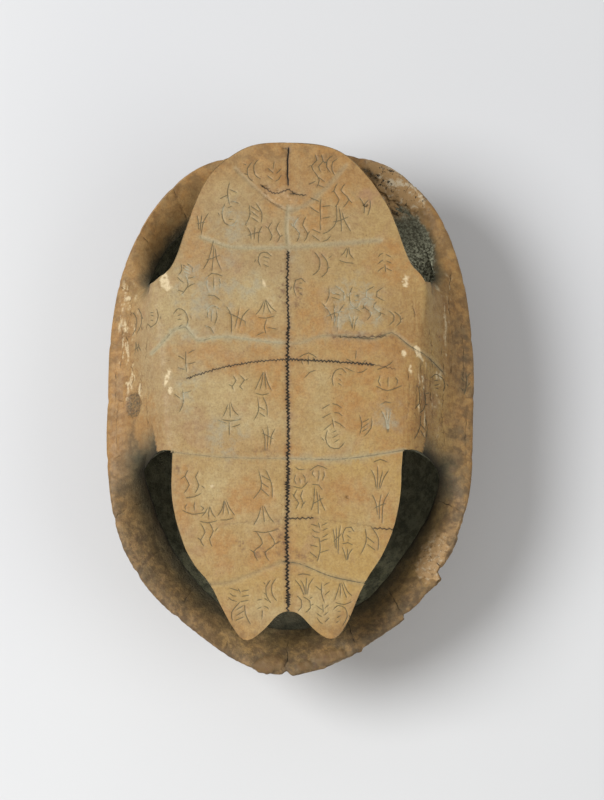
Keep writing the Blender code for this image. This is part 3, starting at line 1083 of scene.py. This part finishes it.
def carve_seams(points, seams, band_seams, cracks, marks):
    """How far the zigzag seams, the fine cracks and the seams of the rim lift each point."""
    seam = points.blank()
    halo = points.blank()
    for path, share in seams:
        seam = np.maximum(seam, share * points.groove(path, SEAM_WIDTH, 0))
        gap = points.distance(path, HALO_REACH)[0]
        halo = np.maximum(halo, share * np.exp(-(gap**2)) * points.top)
    ragged = CRACK_DEPTH / SEAM_DEPTH * (0.6 + 0.9 * points.grain(2.6, 22, points.top))
    for path in cracks:
        seam = np.maximum(seam, ragged * points.groove(path, CRACK_WIDTH, CRACK_TAPER))
    worn = ease(points.x, -20, 10) * ease(-points.y, 20, 50)
    on_band = (points.out > BAND_START) & (points.z < BAND_TOP)
    ragged = mix(RIM_SEAM_SHARE, WORN_SEAM_SHARE, worn) * (0.5 + 1.2 * points.grain(3.0, 32, points.top))
    for path in band_seams:
        seam = np.maximum(seam, ragged * on_band * points.groove(path, RIM_SEAM_WIDTH, CRACK_TAPER))
    marks["seam"] = seam
    marks["halo"] = halo
    return -SEAM_DEPTH * seam


def carve_marks(points, strokes, marks):
    """How far the carved marks lift each point."""
    carved = points.blank()
    for path in strokes:
        carved = np.maximum(carved, points.groove(path, CARVED_WIDTH, CARVED_TAPER))
    marks["carved"] = carved
    return -CARVED_DEPTH * carved


def flake(points, marks):
    """How far the steps of the flaking bone lift each point."""
    flaking = points.patch(FLAKING_BONE, 2.5, 2.0, 5) * points.top
    streaks = points.blank()
    where = flaking > 0
    streaks[where] = [
        noise.fractal(Vector((x / 1.2, y / 8.0, z / 3.0)), 0.7, 2.1, 4) for x, y, z in points.place[where]
    ]
    terrace = ease(streaks * FLAKE_STEPS % 1, 0.35, 0.65) + np.floor(streaks * FLAKE_STEPS)
    marks["flake"] = flaking * ease(streaks, 0.34, 0.52)
    marks["seam"] = np.maximum(marks["seam"], 0.2 * flaking * ease(-streaks, 0.4, 0.6))
    return flaking * (FLAKE_HEIGHT * terrace - FLAKE_HEIGHT / 2)


def wear_bone(points, marks):
    """How far swells, chips, pits and breaks of the bone lift each point."""
    top = points.top
    lift = np.where(top, TOP_SWELL, HIDDEN_SWELL) * points.grain(24.0, 1)
    lift += RIPPLE_HEIGHT * points.grain(5.5, 2)
    lift += GRAIN_HEIGHT * points.grain(1.9, 3, top)

    cream = points.patch(CREAM_CHIPS, 0.3, 0.8, 4) * top
    cream *= ease(points.grain(1.3, 23, cream > 0), -0.5, -0.1)
    lift -= CHIP_DEPTH * cream
    marks["cream"] = cream
    lift += flake(points, marks)

    pit = points.patch(DARK_PITS, 0.35, 0.5, 6) * top
    lift -= PIT_DEPTH * pit
    marks["grime"] = pit

    broken = points.patch(BROKEN_BONE, 0.8, 1.6, 7) * top
    broken = np.maximum(broken, SCAR_SHARE * points.patch(SCARRED_BONE, 1.2, 2.0, 7) * top)
    lumps = points.grain(2.6, 25, broken > 0) + 0.6 * points.grain(1.1, 26, broken > 0)
    lift += BREAK_DEPTH * broken * (lumps - 1)
    marks["broken"] = broken

    plates = points.patch(TAIL_PLATES, 0.8, 0.8, 27) * top
    lift += PLATE_HEIGHT * plates
    marks["plate"] = plates
    return lift


def heap_up(points, marks):
    """How far crust and earth lift each point, and how far up their heaps fill the pocket below them."""
    reachable = (points.z > HEAP_FOOT) & (points.normal[:, 2] > 0)
    within = (points.inside | points.top) & (points.z < RIM_TOP)
    heap = points.patch(HEAPED_EARTH, HEAP_EDGE) * within
    caked = points.patch(HEAPED_CRUST, HEAP_EDGE) * within
    earth_level = EARTH_LEVEL - EARTH_SLOPE * np.clip(RIM_MIDDLE - points.x, 0, EARTH_SLOPE_REACH)
    fill = heap * np.maximum(earth_level - points.z, 0)
    fill = np.maximum(fill, caked * np.maximum(CRUST_LEVEL - points.z, 0))

    crust = points.patch(CRUST, 2.4, 1.6, 8) * reachable
    crust = np.maximum(crust, caked * points.inside)
    lumps = 0.5 + 0.5 * points.grain(6.0, 9, crust > 0) + 0.2 * points.grain(1.8, 10, crust > 0)
    lumps += 0.9 * (0.45 - points.cells(4.2, 3, crust > 0))
    at_edge = ease(points.out, 0.9, 0.98)
    lift = crust * (CRUST_HEIGHT + CRUST_LUMPS * lumps) * (1 - 0.85 * at_edge)
    marks["crust"] = crust

    earth = np.maximum(points.patch(EARTH, 2.4, 1.2, 11) * reachable, heap * points.inside) * (1 - crust)
    earth *= points.z < RIM_TOP
    crumbs = 0.5 - points.cells(1.1, 2, earth > 0) + points.grain(3.0, 12, earth > 0)
    lift += CRUMB_HEIGHT * earth * crumbs
    marks["earth"] = earth
    # Painted shade: the earth darker towards the head end.
    marks["earth_head_shade"] = earth * ease(points.y, 60, 76)
    return lift, fill


def part_shields(points, rim, marks):
    """How far the furrows and growth rings of the carapace lift each point."""
    gap = np.full(len(points.x), np.inf)
    for path in carapace_paths(rim):
        gap = np.minimum(gap, points.distance(path, 14)[0])
    furrow = np.exp(-((gap / DOME_FURROW_WIDTH) ** 2)) * points.dome
    marks["furrow"] = np.maximum(marks["furrow"], furrow)
    rings = np.cos(np.clip(gap, 0, 14) / GROWTH_STEP * 2 * math.pi)
    rings *= ease(gap, 1.0, 3.0) * (1 - ease(gap, 9.0, 13.5)) * points.dome
    return GROWTH_HEIGHT * rings - DOME_FURROW_DEPTH * furrow


def roughen(points, marks):
    """How far the rough rear of the rim and the wall of the hollow lift each point."""
    rear = points.top * (points.z < RIM_TOP) * ease(-points.y, 20, 60)
    marks["rear"] = rear
    lift = rear * (0.5 * points.grain(7.0, 37, rear > 0) + 0.25 * points.grain(2.8, 38, rear > 0))
    return lift + INSIDE_SWELL * points.grain(7.0, 13, points.inside)


def stain(points, marks):
    """Where the bone is stained, how dark with soot and painted shade each place is, and the painted light
    inside the openings. Nothing is lifted.
    """
    for name, patches, soft, ragged, seed in STAINS:
        marks[name] = points.patch(patches, soft, ragged, seed) * points.top
    marks["dark"] *= points.z < RIM_TOP
    across = 0.6 * points.x / 70 - 0.5 * points.y / 90
    marks["warm"] = ease(across + 0.25 * points.grain(16.0, 18), -0.7, 0.8)
    marks["margin"] = ease(points.out, 0.78, 0.96) * points.top
    marks["dome"] = points.dome.astype(float)
    # Soot inside; on the rim round the openings, soot and painted shade.
    marks["inner"] = soot_and_painted_shade(points)
    tail = points.patch(TAIL_HOLLOW, 6)
    behind = ease(-points.y, 42, 66)
    # Painted shade along the edges of the rear openings, over the light that their rounded lips catch; it
    # fades out towards the head and over the tail.
    lip_shade = ease(-points.y, -10, 20) * (1 - behind) * (1 - ease(points.lip, 0.5, 5.0))
    marks["lip_shade"] = LIP_SHADE_SHARE * lip_shade
    # Painted light: pale dust over the inside away from the edges, brighter than dust to stand in for light
    # in the hollow, fuller towards the rear and left out over the tail as painted shadow under the plastron's
    # edge.
    marks["deep_dust_and_light"] = points.inside * ease(points.lip, 0, 3) * (1 - 0.9 * tail) * mix(0.4, 1.0, behind)


def carve(points, rim, seams, band_seams, cracks, strokes):
    """Moves the points into relief, and returns what lies on each of them for the finish."""
    marks = {}
    lift = carve_furrows(points, marks)
    lift += carve_seams(points, seams, band_seams, cracks, marks)
    lift += carve_marks(points, strokes, marks)
    lift += wear_bone(points, marks)
    heaped, fill = heap_up(points, marks)
    lift += heaped
    lift += part_shields(points, rim, marks)
    lift += roughen(points, marks)
    stain(points, marks)
    lift = (lift - HEADROOM) * ease(points.z, 0, FLOOR_CALM)
    points.place += points.normal * lift[:, None]
    points.place[:, 2] += fill
    notch_rim(points, rim)
    low, high = (np.array(corner) * MM for corner in PLAIN_BOX)
    points.place = np.clip(points.place, low, high)
    return marks


def soot_and_painted_shade(points):
    """How dark with soot, dirt and painted shade each point is: all of the inside, and the rim near the
    openings, painted darker towards their edges as shade and fully dark on the edges themselves.
    """
    ragged = points.lip + 2.6 * points.grain(7.0, 28) + 1.2 * points.grain(2.2, 29, points.top)
    reach = mix(SOOT_AND_SHADE_REACH_LEFT, SOOT_AND_SHADE_REACH_RIGHT, ease(points.x, -20.0, 20.0))
    reach = mix(reach, SOOT_AND_SHADE_REACH_FRONT, ease(points.y, 20.0, 50.0))
    behind_bridge = ease(points.z, 52.0, 60.0) * (1 - ease(points.y, -30.0, 0.0))
    near = mix(SOOT_AND_SHADE_SHARE, 1.0, behind_bridge) * (1 - ease(ragged / reach, SOOT_AND_SHADE_START, 1.0))
    # Painted shade: the edges of the openings fully dark.
    near = np.maximum(near, 1 - ease(points.lip, 0.6, 2.6))
    near *= 1 - TAIL_CLEAN * points.patch(TAIL_HOLLOW, 8.0)
    # The pocket of painted shade.
    near = np.maximum(near, points.patch(PAINTED_SHADE_POCKETS, 5.0, 1.5, 34))
    on_rim = (points.z < SOOT_AND_SHADE_LIP_TOP) & points.top
    return np.where(points.inside, 1.0, near * on_rim)


def notch_rim(points, rim):
    """Bites small notches out of the rim at its seams and a bigger one at the tail, and wears the rear."""
    reach = np.full(len(points.x), np.inf)
    for side in rim_seams(rim):
        for x, y in side[1:]:
            reach = np.minimum(reach, np.hypot(points.x - x, points.y - y))
    edge = ease(points.out, 0.93, 0.99)
    worn = ease(points.x, -10.0, 20.0) * ease(-points.y, 25.0, 60.0)
    bite = mix(RIM_NOTCH, WORN_NOTCH, worn) * np.exp(-((reach / 1.5) ** 2))
    bite += TAIL_NOTCH * np.exp(-(((points.x + 1.6) / 1.4) ** 2)) * (points.y < -90)
    bite += worn * np.maximum(0.45 * points.grain(9.0, 30) + 0.15 * points.grain(2.4, 31), -0.3)
    for x, y, height in RIM_KNOBS:
        length = math.hypot(x, y)
        ahead = (points.x * y - points.y * x) / length
        beside = (points.x * x + points.y * y) / length > 0
        bite -= height * np.clip(1 - ahead / RIM_STEP_LENGTH, 0.0, 1.0) * (ahead > 0) * beside
        bite += 0.4 * height * np.clip(1 + ahead / RIM_STEP_LENGTH, 0.0, 1.0) * (ahead < 0) * beside
    radius = np.hypot(points.x, points.y)
    share = 1 - bite * edge / radius
    points.place[:, 0] *= share
    points.place[:, 1] *= share


# Finish.


class Finish:
    """Builds the nodes of one material."""

    def __init__(self, name):
        self.material = bpy.data.materials.new(name)
        self.material.use_nodes = True
        self.tree = self.material.node_tree
        self.shader = self.tree.nodes["Principled BSDF"]
        self.place = self.tree.nodes.new("ShaderNodeTexCoord").outputs["Object"]

    def join(self, value, socket):
        """Links a value that comes from a node, or sets a plain one."""
        if isinstance(value, bpy.types.NodeSocket):
            self.tree.links.new(value, socket)
        else:
            socket.default_value = value

    def mark(self, name):
        """What the mesh says lies on each point."""
        node = self.tree.nodes.new("ShaderNodeAttribute")
        node.attribute_name = name
        return node.outputs["Fac"]

    def stretched(self, scale):
        """Places squeezed or stretched along each axis."""
        node = self.tree.nodes.new("ShaderNodeMapping")
        node.inputs["Scale"].default_value = scale
        self.join(self.place, node.inputs["Vector"])
        return node.outputs["Vector"]

    def grain(self, size, detail=3.0, rough=0.55, place=None, wander=0.0):
        """Noise from 0 to 1 with bumps of about this size in millimetres."""
        node = self.tree.nodes.new("ShaderNodeTexNoise")
        node.inputs["Scale"].default_value = MM / size
        node.inputs["Detail"].default_value = detail
        node.inputs["Roughness"].default_value = rough
        node.inputs["Distortion"].default_value = wander
        self.join(place or self.place, node.inputs["Vector"])
        return node.outputs["Fac"]

    def cells(self, size, feature):
        """Distance to the nearest of scattered middles this many millimetres apart, or to where two meet."""
        node = self.tree.nodes.new("ShaderNodeTexVoronoi")
        node.feature = feature
        node.inputs["Scale"].default_value = MM / size
        self.join(self.place, node.inputs["Vector"])
        return node.outputs["Distance"]

    def sum(self, kind, first, second, third=0.0):
        """Arithmetic on two or three values."""
        node = self.tree.nodes.new("ShaderNodeMath")
        node.operation = kind
        for value, socket in zip((first, second, third), node.inputs):
            self.join(value, socket)
        return node.outputs[0]

    def ramp(self, value, start, end, low=0.0, high=1.0):
        """A smooth step from low to high as the value goes from start to end."""
        node = self.tree.nodes.new("ShaderNodeMapRange")
        node.interpolation_type = "SMOOTHSTEP"
        for given, socket in zip((value, start, end, low, high), node.inputs):
            self.join(given, socket)
        return node.outputs["Result"]

    def blend(self, share, first, second, kind="MIX"):
        """One colour over another."""
        node = self.tree.nodes.new("ShaderNodeMix")
        node.data_type = "RGBA"
        node.blend_type = kind
        sockets = [socket for socket in node.inputs if socket.enabled]
        for given, socket in zip((share, first, second), sockets):
            self.join(given, socket)
        return [socket for socket in node.outputs if socket.enabled][0]

    def broken_up(self, name, grain, start, end, low, high):
        """A mark of the mesh, broken up by noise."""
        return self.sum("MULTIPLY", self.mark(name), self.ramp(grain, start, end, low, high))

    def layers(self, colour, grains, rows):
        """A colour with layers over it."""
        for name, grain, start, end, low, high, tint in rows:
            colour = self.blend(self.broken_up(name, grains[grain], start, end, low, high), colour, tint)
        return colour


TAN = (0.345, 0.242, 0.114, 1.0)
OCHRE = (0.410, 0.266, 0.086, 1.0)
ORANGE = (0.375, 0.200, 0.062, 1.0)
FLESH = (0.330, 0.195, 0.098, 1.0)
# Brown of the bridges, on the right bridge also painted shade.
BRIDGE_BROWN_AND_SHADE = (0.270, 0.138, 0.040, 1.0)
UMBER = (0.105, 0.078, 0.042, 1.0)
BROWN = (0.185, 0.108, 0.042, 1.0)
PALE = (0.430, 0.332, 0.160, 1.0)
GREY_BLUE = (0.315, 0.282, 0.190, 1.0)
SILT = (0.385, 0.362, 0.235, 1.0)
CREAM = (0.600, 0.480, 0.290, 1.0)
RUST = (0.140, 0.075, 0.040, 1.0)
# Near black of the seams, also the painted shade on the edges of the openings.
DARK_SEAM_AND_SHADE = (0.022, 0.018, 0.011, 1.0)
CUT_DARK = (0.085, 0.076, 0.042, 1.0)
CUT_PALE = (0.330, 0.320, 0.235, 1.0)
# Pale dust inside, brighter than dust: painted light in the dark hollow.
DUST_AND_LIGHT = (0.660, 0.650, 0.450, 1.0)
DUST_AND_LIGHT_DARK = (0.250, 0.255, 0.178, 1.0)
# Soot colours, also laid on the rim round the openings as painted shade.
SOOT_AND_SHADE_BROWN = (0.105, 0.084, 0.046, 1.0)
SOOT_AND_SHADE_GREEN = (0.062, 0.060, 0.037, 1.0)
# Pale earth, brighter than the earth itself: painted light where the plastron shades it.
EARTH_GREY_AND_LIGHT = (0.620, 0.620, 0.440, 1.0)
EARTH_DARK = (0.110, 0.106, 0.070, 1.0)
GRIME = (0.050, 0.046, 0.030, 1.0)
CRUST_BROWN = (0.420, 0.262, 0.118, 1.0)
CRUST_PALE = (0.600, 0.490, 0.330, 1.0)
CRUST_DARK = (0.045, 0.038, 0.026, 1.0)

# Layers of the finish, each over the last: the mark that places a layer, the noise that breaks it up, where
# that noise starts and ends to count, the least and the most that the layer covers, and its colour.
STAINED_LAYERS = (
    ("pale", "blotchy", 0.3, 0.6, 0.2, 0.8, PALE),
    ("orange", "blotchy", 0.36, 0.64, 0.22, 0.95, ORANGE),
    ("margin", "patchy", 0.3, 0.6, 0.5, 0.95, ORANGE),
    ("margin", "blotchy", 0.4, 0.62, 0.0, 0.7, BROWN),
    # The bridge layer is partly painted shade on the right bridge.
    ("bridge", "fibre", 0.3, 0.7, 0.25, 0.75, BRIDGE_BROWN_AND_SHADE),
    ("dark", "blotchy", 0.3, 0.6, 0.2, 0.65, UMBER),
    ("dark", "mottle", 0.46, 0.62, 0.0, 0.55, UMBER),
    ("rear", "mottle", 0.36, 0.58, 0.16, 0.62, UMBER),
    ("rear", "coarse", 0.54, 0.66, 0.0, 0.45, CRUST_BROWN),
    ("dome", "patchy", 0.3, 0.65, 0.3, 0.9, BROWN),
)
FILLED_LAYERS = (
    ("silt", "mottle", 0.25, 0.6, 0.65, 1.0, SILT),
    ("furrow", "mottle", 0.25, 0.6, 0.0, 0.35, BROWN),
    ("flesh", "mottle", 0.3, 0.55, 0.3, 0.9, FLESH),
    ("rust", "spotty", 0.42, 0.66, 0.0, 0.8, RUST),
)
CHIPPED_LAYERS = (
    ("flake", "fine", 0.3, 0.6, 0.3, 0.9, CREAM),
    ("cream", "fine", 0.25, 0.5, 0.5, 1.0, CREAM),
)


def stained_bone(bone, grains, specks, blue):
    """The colour of the bone itself: tan to ochre, stained, with silt in its furrows, chipped and broken."""
    mottle = grains["mottle"]
    colour = bone.blend(bone.mark("warm"), TAN, OCHRE)
    colour = bone.blend(bone.ramp(grains["patchy"], 0.48, 0.7, 0.0, 0.6), colour, FLESH)
    colour = bone.layers(colour, grains, STAINED_LAYERS)
    colour = bone.blend(bone.ramp(mottle, 0.34, 0.62, 0.0, 0.16), colour, BROWN, "OVERLAY")
    colour = bone.blend(bone.ramp(mottle, 0.6, 0.4, 0.0, 0.1), colour, PALE)
    colour = bone.blend(blue, colour, GREY_BLUE)
    colour = bone.layers(colour, grains, FILLED_LAYERS)
    colour = bone.blend(bone.sum("MULTIPLY", specks, bone.ramp(mottle, 0.5, 0.75)), colour, RUST)
    colour = bone.blend(bone.ramp(grains["fine"], 0.32, 0.6, 0.30, 0.0), colour, RUST)
    colour = bone.layers(colour, grains, CHIPPED_LAYERS)
    broken = bone.blend(bone.ramp(bone.grain(2.2, 5.0, 0.7), 0.34, 0.5), BROWN, CRUST_BROWN)
    broken = bone.blend(bone.ramp(bone.grain(1.6, 4.0, 0.7), 0.5, 0.68, 0.0, 0.75), broken, CRUST_PALE)
    return bone.blend(bone.broken_up("broken", mottle, 0.3, 0.5, 0.5, 1.0), colour, broken)


def dirty_bone(bone, grains, colour):
    """The colour with soot inside and soot and painted shade round the openings, pale dust deeper inside that
    is partly painted light, and earth and crust where they lie.
    """
    mottle = grains["mottle"]
    # Soot, which is also painted shade on the rim round the openings.
    soot_and_painted_shade = bone.blend(bone.ramp(grains["patchy"], 0.4, 0.66), SOOT_AND_SHADE_GREEN, SOOT_AND_SHADE_BROWN)
    soot_and_painted_shade = bone.blend(bone.ramp(mottle, 0.35, 0.7, 0.0, 0.4), soot_and_painted_shade, DARK_SEAM_AND_SHADE)
    # Pale dust, painted light deeper inside.
    dust_and_light = bone.blend(bone.ramp(bone.grain(5.0, 7.0, 0.78), 0.4, 0.62), DUST_AND_LIGHT_DARK, DUST_AND_LIGHT)
    # Painted shade on the edges of the openings.
    soot_and_painted_shade = bone.blend(bone.mark("lip_shade"), soot_and_painted_shade, DARK_SEAM_AND_SHADE)
    soot_and_painted_shade = bone.blend(bone.mark("deep_dust_and_light"), soot_and_painted_shade, dust_and_light)
    colour = bone.blend(bone.mark("inner"), colour, soot_and_painted_shade)
    colour = bone.blend(bone.broken_up("plate", mottle, 0.3, 0.6, 0.3, 0.8), colour, BROWN)

    # The pale earth, partly painted light.
    earth = bone.blend(bone.ramp(bone.grain(1.0, 4.0, 0.7), 0.42, 0.62), EARTH_DARK, EARTH_GREY_AND_LIGHT)
    # Painted shade on the head end of the earth.
    earth = bone.blend(bone.sum("MULTIPLY", bone.mark("earth_head_shade"), 0.7), earth, EARTH_DARK)
    colour = bone.blend(bone.mark("earth"), colour, earth)

    crust = bone.blend(bone.ramp(bone.grain(4.0, 6.0, 0.75), 0.51, 0.6), CRUST_BROWN, CRUST_PALE)
    crust = bone.blend(bone.ramp(bone.grain(2.4, 4.0, 0.75), 0.45, 0.37), crust, CRUST_DARK)
    colour = bone.blend(bone.mark("crust"), colour, crust)
    return bone.blend(bone.broken_up("grime", grains["fine"], 0.35, 0.6, 0.85, 0.35), colour, GRIME)


def lined_bone(bone, grains, colour, blue):
    """The colour with its fine cracks, carved marks, furrow lines and seams."""
    crackle = bone.ramp(bone.cells(2.4, "DISTANCE_TO_EDGE"), 0.0, 0.05, 0.75, 0.0)
    crackled = bone.broken_up("crackle", grains["mottle"], 0.45, 0.62, 0.0, 1.0)
    colour = bone.blend(bone.sum("MULTIPLY", crackle, crackled), colour, RUST)
    halo = bone.broken_up("halo", bone.grain(1.4, 4.0, 0.7), 0.35, 0.6, 0.1, 0.75)
    colour = bone.blend(halo, colour, RUST)
    cut = bone.blend(bone.ramp(blue, 0.1, 0.5), CUT_DARK, CUT_PALE)
    colour = bone.blend(bone.ramp(bone.mark("carved"), 0.08, 0.7, 0.0, 0.78), colour, cut)
    line = bone.broken_up("line", bone.grain(2.0, 4.0), 0.3, 0.6, 0.8, 1.1)
    colour = bone.blend(bone.ramp(line, 0.52, 0.86, 0.0, 0.85), colour, CUT_DARK)
    return bone.blend(bone.ramp(bone.mark("seam"), 0.06, 0.45, 0.0, 0.95), colour, DARK_SEAM_AND_SHADE)


def bone_finish():
    """Old bone, handled smooth: tan to ochre, stained, with soot, dirt and painted shade in and round its
    hollows, and pale dust inside that is partly painted light.
    """
    bone = Finish("old_bone")
    grains = {
        "patchy": bone.grain(13.0, 5.0, 0.62, wander=0.5),
        "blotchy": bone.grain(6.0, 5.0, 0.65),
        "coarse": bone.grain(5.4, 6.0, 0.7),
        "mottle": bone.grain(2.6, 5.0, 0.65),
        "spotty": bone.grain(1.8, 5.0, 0.7),
        "fine": bone.grain(0.8, 4.0, 0.65),
        "fibre": bone.grain(1.0, 3.0, 0.6, place=bone.stretched((1.0, 0.16, 1.0))),
    }
    mottle = grains["mottle"]
    specks = bone.ramp(bone.cells(1.7, "F1"), 0.08, 0.17, 0.75, 0.0)
    blue = bone.sum(
        "MULTIPLY", bone.ramp(grains["blotchy"], 0.42, 0.62), bone.ramp(mottle, 0.3, 0.6, 0.35, 0.75)
    )
    blue = bone.sum("MULTIPLY", bone.mark("stain"), blue)
    colour = stained_bone(bone, grains, specks, blue)
    colour = dirty_bone(bone, grains, colour)
    colour = lined_bone(bone, grains, colour, blue)
    bone.join(colour, bone.shader.inputs["Base Color"])

    loose = bone.sum("MAXIMUM", bone.mark("earth"), bone.mark("inner"))
    loose = bone.sum("MAXIMUM", loose, bone.sum("MULTIPLY", bone.mark("rear"), 0.5))
    dirt = bone.sum("MAXIMUM", loose, bone.sum("MAXIMUM", bone.mark("crust"), bone.mark("seam")))
    worn = bone.ramp(mottle, 0.3, 0.7, 0.46, 0.64)
    roughness = bone.sum("MAXIMUM", worn, bone.sum("MULTIPLY", dirt, 0.92))
    bone.join(roughness, bone.shader.inputs["Roughness"])
    bone.shader.inputs["Specular IOR Level"].default_value = 0.3

    height = bone.sum("MULTIPLY", grains["fine"], 0.07)
    height = bone.sum("MULTIPLY_ADD", grains["fibre"], 0.06, height)
    height = bone.sum("MULTIPLY_ADD", mottle, 0.14, height)
    height = bone.sum("SUBTRACT", height, bone.sum("MULTIPLY", specks, 0.1))
    rubble = bone.sum("MULTIPLY", dirt, bone.grain(1.2, 5.0, 0.7))
    height = bone.sum("MULTIPLY_ADD", rubble, 0.7, height)
    bump = bone.tree.nodes.new("ShaderNodeBump")
    bump.inputs["Strength"].default_value = 1.0
    bump.inputs["Distance"].default_value = 1 / MM
    bone.join(height, bump.inputs["Height"])
    bone.join(bump.outputs["Normal"], bone.shader.inputs["Normal"])
    return bone.material


def floor_finish():
    """A plain pale tabletop."""
    floor = Finish("pale_floor")
    shade = floor.ramp(floor.grain(400.0, 2.0), 0.3, 0.7)
    colour = floor.blend(shade, (0.62, 0.63, 0.65, 1.0), (0.66, 0.67, 0.68, 1.0))
    floor.join(colour, floor.shader.inputs["Base Color"])
    floor.shader.inputs["Roughness"].default_value = 0.7
    return floor.material


# The piece, the floor, the lights and the camera.


def carved_shell():
    """The finished shell, in place of the plain one."""
    bone = shell_copy()
    round_lips(bone)
    cut_finer(bone)
    seams = seam_paths()
    strokes = carved_strokes()
    rim = rim_places(bone)
    chance = random.Random(CARVED_SEED)
    band_seams = [zigzag_path(path, CRACK_TOOTH, CRACK_REACH, chance) for path in band_seam_paths(rim)]
    cracks = crack_paths()
    cut_marks(bone, seams, band_seams, cracks, strokes)
    bmesh.ops.triangulate(bone, faces=bone.faces[:], quad_method="BEAUTY", ngon_method="BEAUTY")
    bmesh.ops.dissolve_degenerate(bone, edges=bone.edges[:], dist=SLIVER)
    points = Points(bone, rim)
    marks = carve(points, rim, seams, band_seams, cracks, strokes)
    for vert, place in zip(bone.verts, points.place / MM):
        vert.co = place
    mesh = bpy.data.meshes.new("carved_shell")
    bone.to_mesh(mesh)
    bone.free()
    mesh.shade_smooth()
    for name, values in marks.items():
        layer = mesh.attributes.new(name, "FLOAT", "POINT")
        layer.data.foreach_set("value", values.astype(np.float32))
    mesh.materials.clear()
    mesh.materials.append(bone_finish())
    piece = bpy.data.objects.new("carved_shell", mesh)
    bpy.context.scene.collection.objects.link(piece)
    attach(piece, "root")
    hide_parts("turtle_shell")
    print("carved_shell triangles:", len(mesh.polygons))
    return piece


# The studio, in metres and watts: the floor, the two soft panels and the room's own light. The camera looks
# down from a little beyond the tail, and aims a few millimetres off the middle.
FLOOR_REACH = 12.0
KEY_PLACE = (-0.78, 0.02, 1.15)
KEY_WIDTH = 0.7
KEY_POWER = 16.8
FILL_PLACE = (0.9, -0.35, 1.1)
FILL_WIDTH = 1.0
FILL_POWER = 4.0
ROOM_LIGHT = 0.44
LENS = 168.75
CAMERA_LIFT = math.radians(80)
CAMERA_DISTANCE = 1.5
CAMERA_SIDE = 0.00465
CAMERA_AHEAD = -0.0004


def pale_floor():
    """The tabletop that the shell lies on."""
    floor = bmesh.new()
    bmesh.ops.create_grid(floor, x_segments=8, y_segments=8, size=FLOOR_REACH)
    mesh = bpy.data.meshes.new("pale_floor")
    floor.to_mesh(mesh)
    floor.free()
    mesh.materials.append(floor_finish())
    table = bpy.data.objects.new("pale_floor", mesh)
    bpy.context.scene.collection.objects.link(table)


def soft_light(name, place, size, power, aim):
    """A soft studio panel that faces a point."""
    light = bpy.data.lights.new(name, "AREA")
    light.shape = "DISK"
    light.size = size
    light.energy = power
    panel = bpy.data.objects.new(name, light)
    panel.location = place
    panel.rotation_euler = (aim - Vector(place)).to_track_quat("-Z", "Y").to_euler()
    bpy.context.scene.collection.objects.link(panel)


def studio(top):
    """Soft light from the upper left, a weaker fill from the right, and a pale room."""
    aim = Vector((0.0, 0.0, top / 2))
    soft_light("key_panel", KEY_PLACE, KEY_WIDTH, KEY_POWER, aim)
    soft_light("fill_panel", FILL_PLACE, FILL_WIDTH, FILL_POWER, aim)
    world = bpy.data.worlds.new("pale_room")
    world.use_nodes = True
    room = world.node_tree.nodes["Background"]
    room.inputs["Color"].default_value = (1.0, 0.98, 0.95, 1.0)
    room.inputs["Strength"].default_value = ROOM_LIGHT
    bpy.context.scene.world = world
    bpy.context.scene.view_settings.view_transform = "Standard"


def camera(top):
    """Looks down on the carved side, a little from the tail end."""
    aim = Vector((CAMERA_SIDE, CAMERA_AHEAD, top))
    lens = bpy.data.cameras.new("camera")
    lens.lens = LENS
    eye = bpy.data.objects.new("camera", lens)
    away = Vector((0.0, -math.cos(CAMERA_LIFT), math.sin(CAMERA_LIFT)))
    eye.location = aim + away * CAMERA_DISTANCE
    eye.rotation_euler = away.to_track_quat("Z", "Y").to_euler()
    bpy.context.scene.collection.objects.link(eye)
    bpy.context.scene.camera = eye


def main():
    """The camera, the shell, the floor and the lights."""
    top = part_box("turtle_shell")[1].z
    camera(top)
    carved_shell()
    pale_floor()
    studio(top)


main()
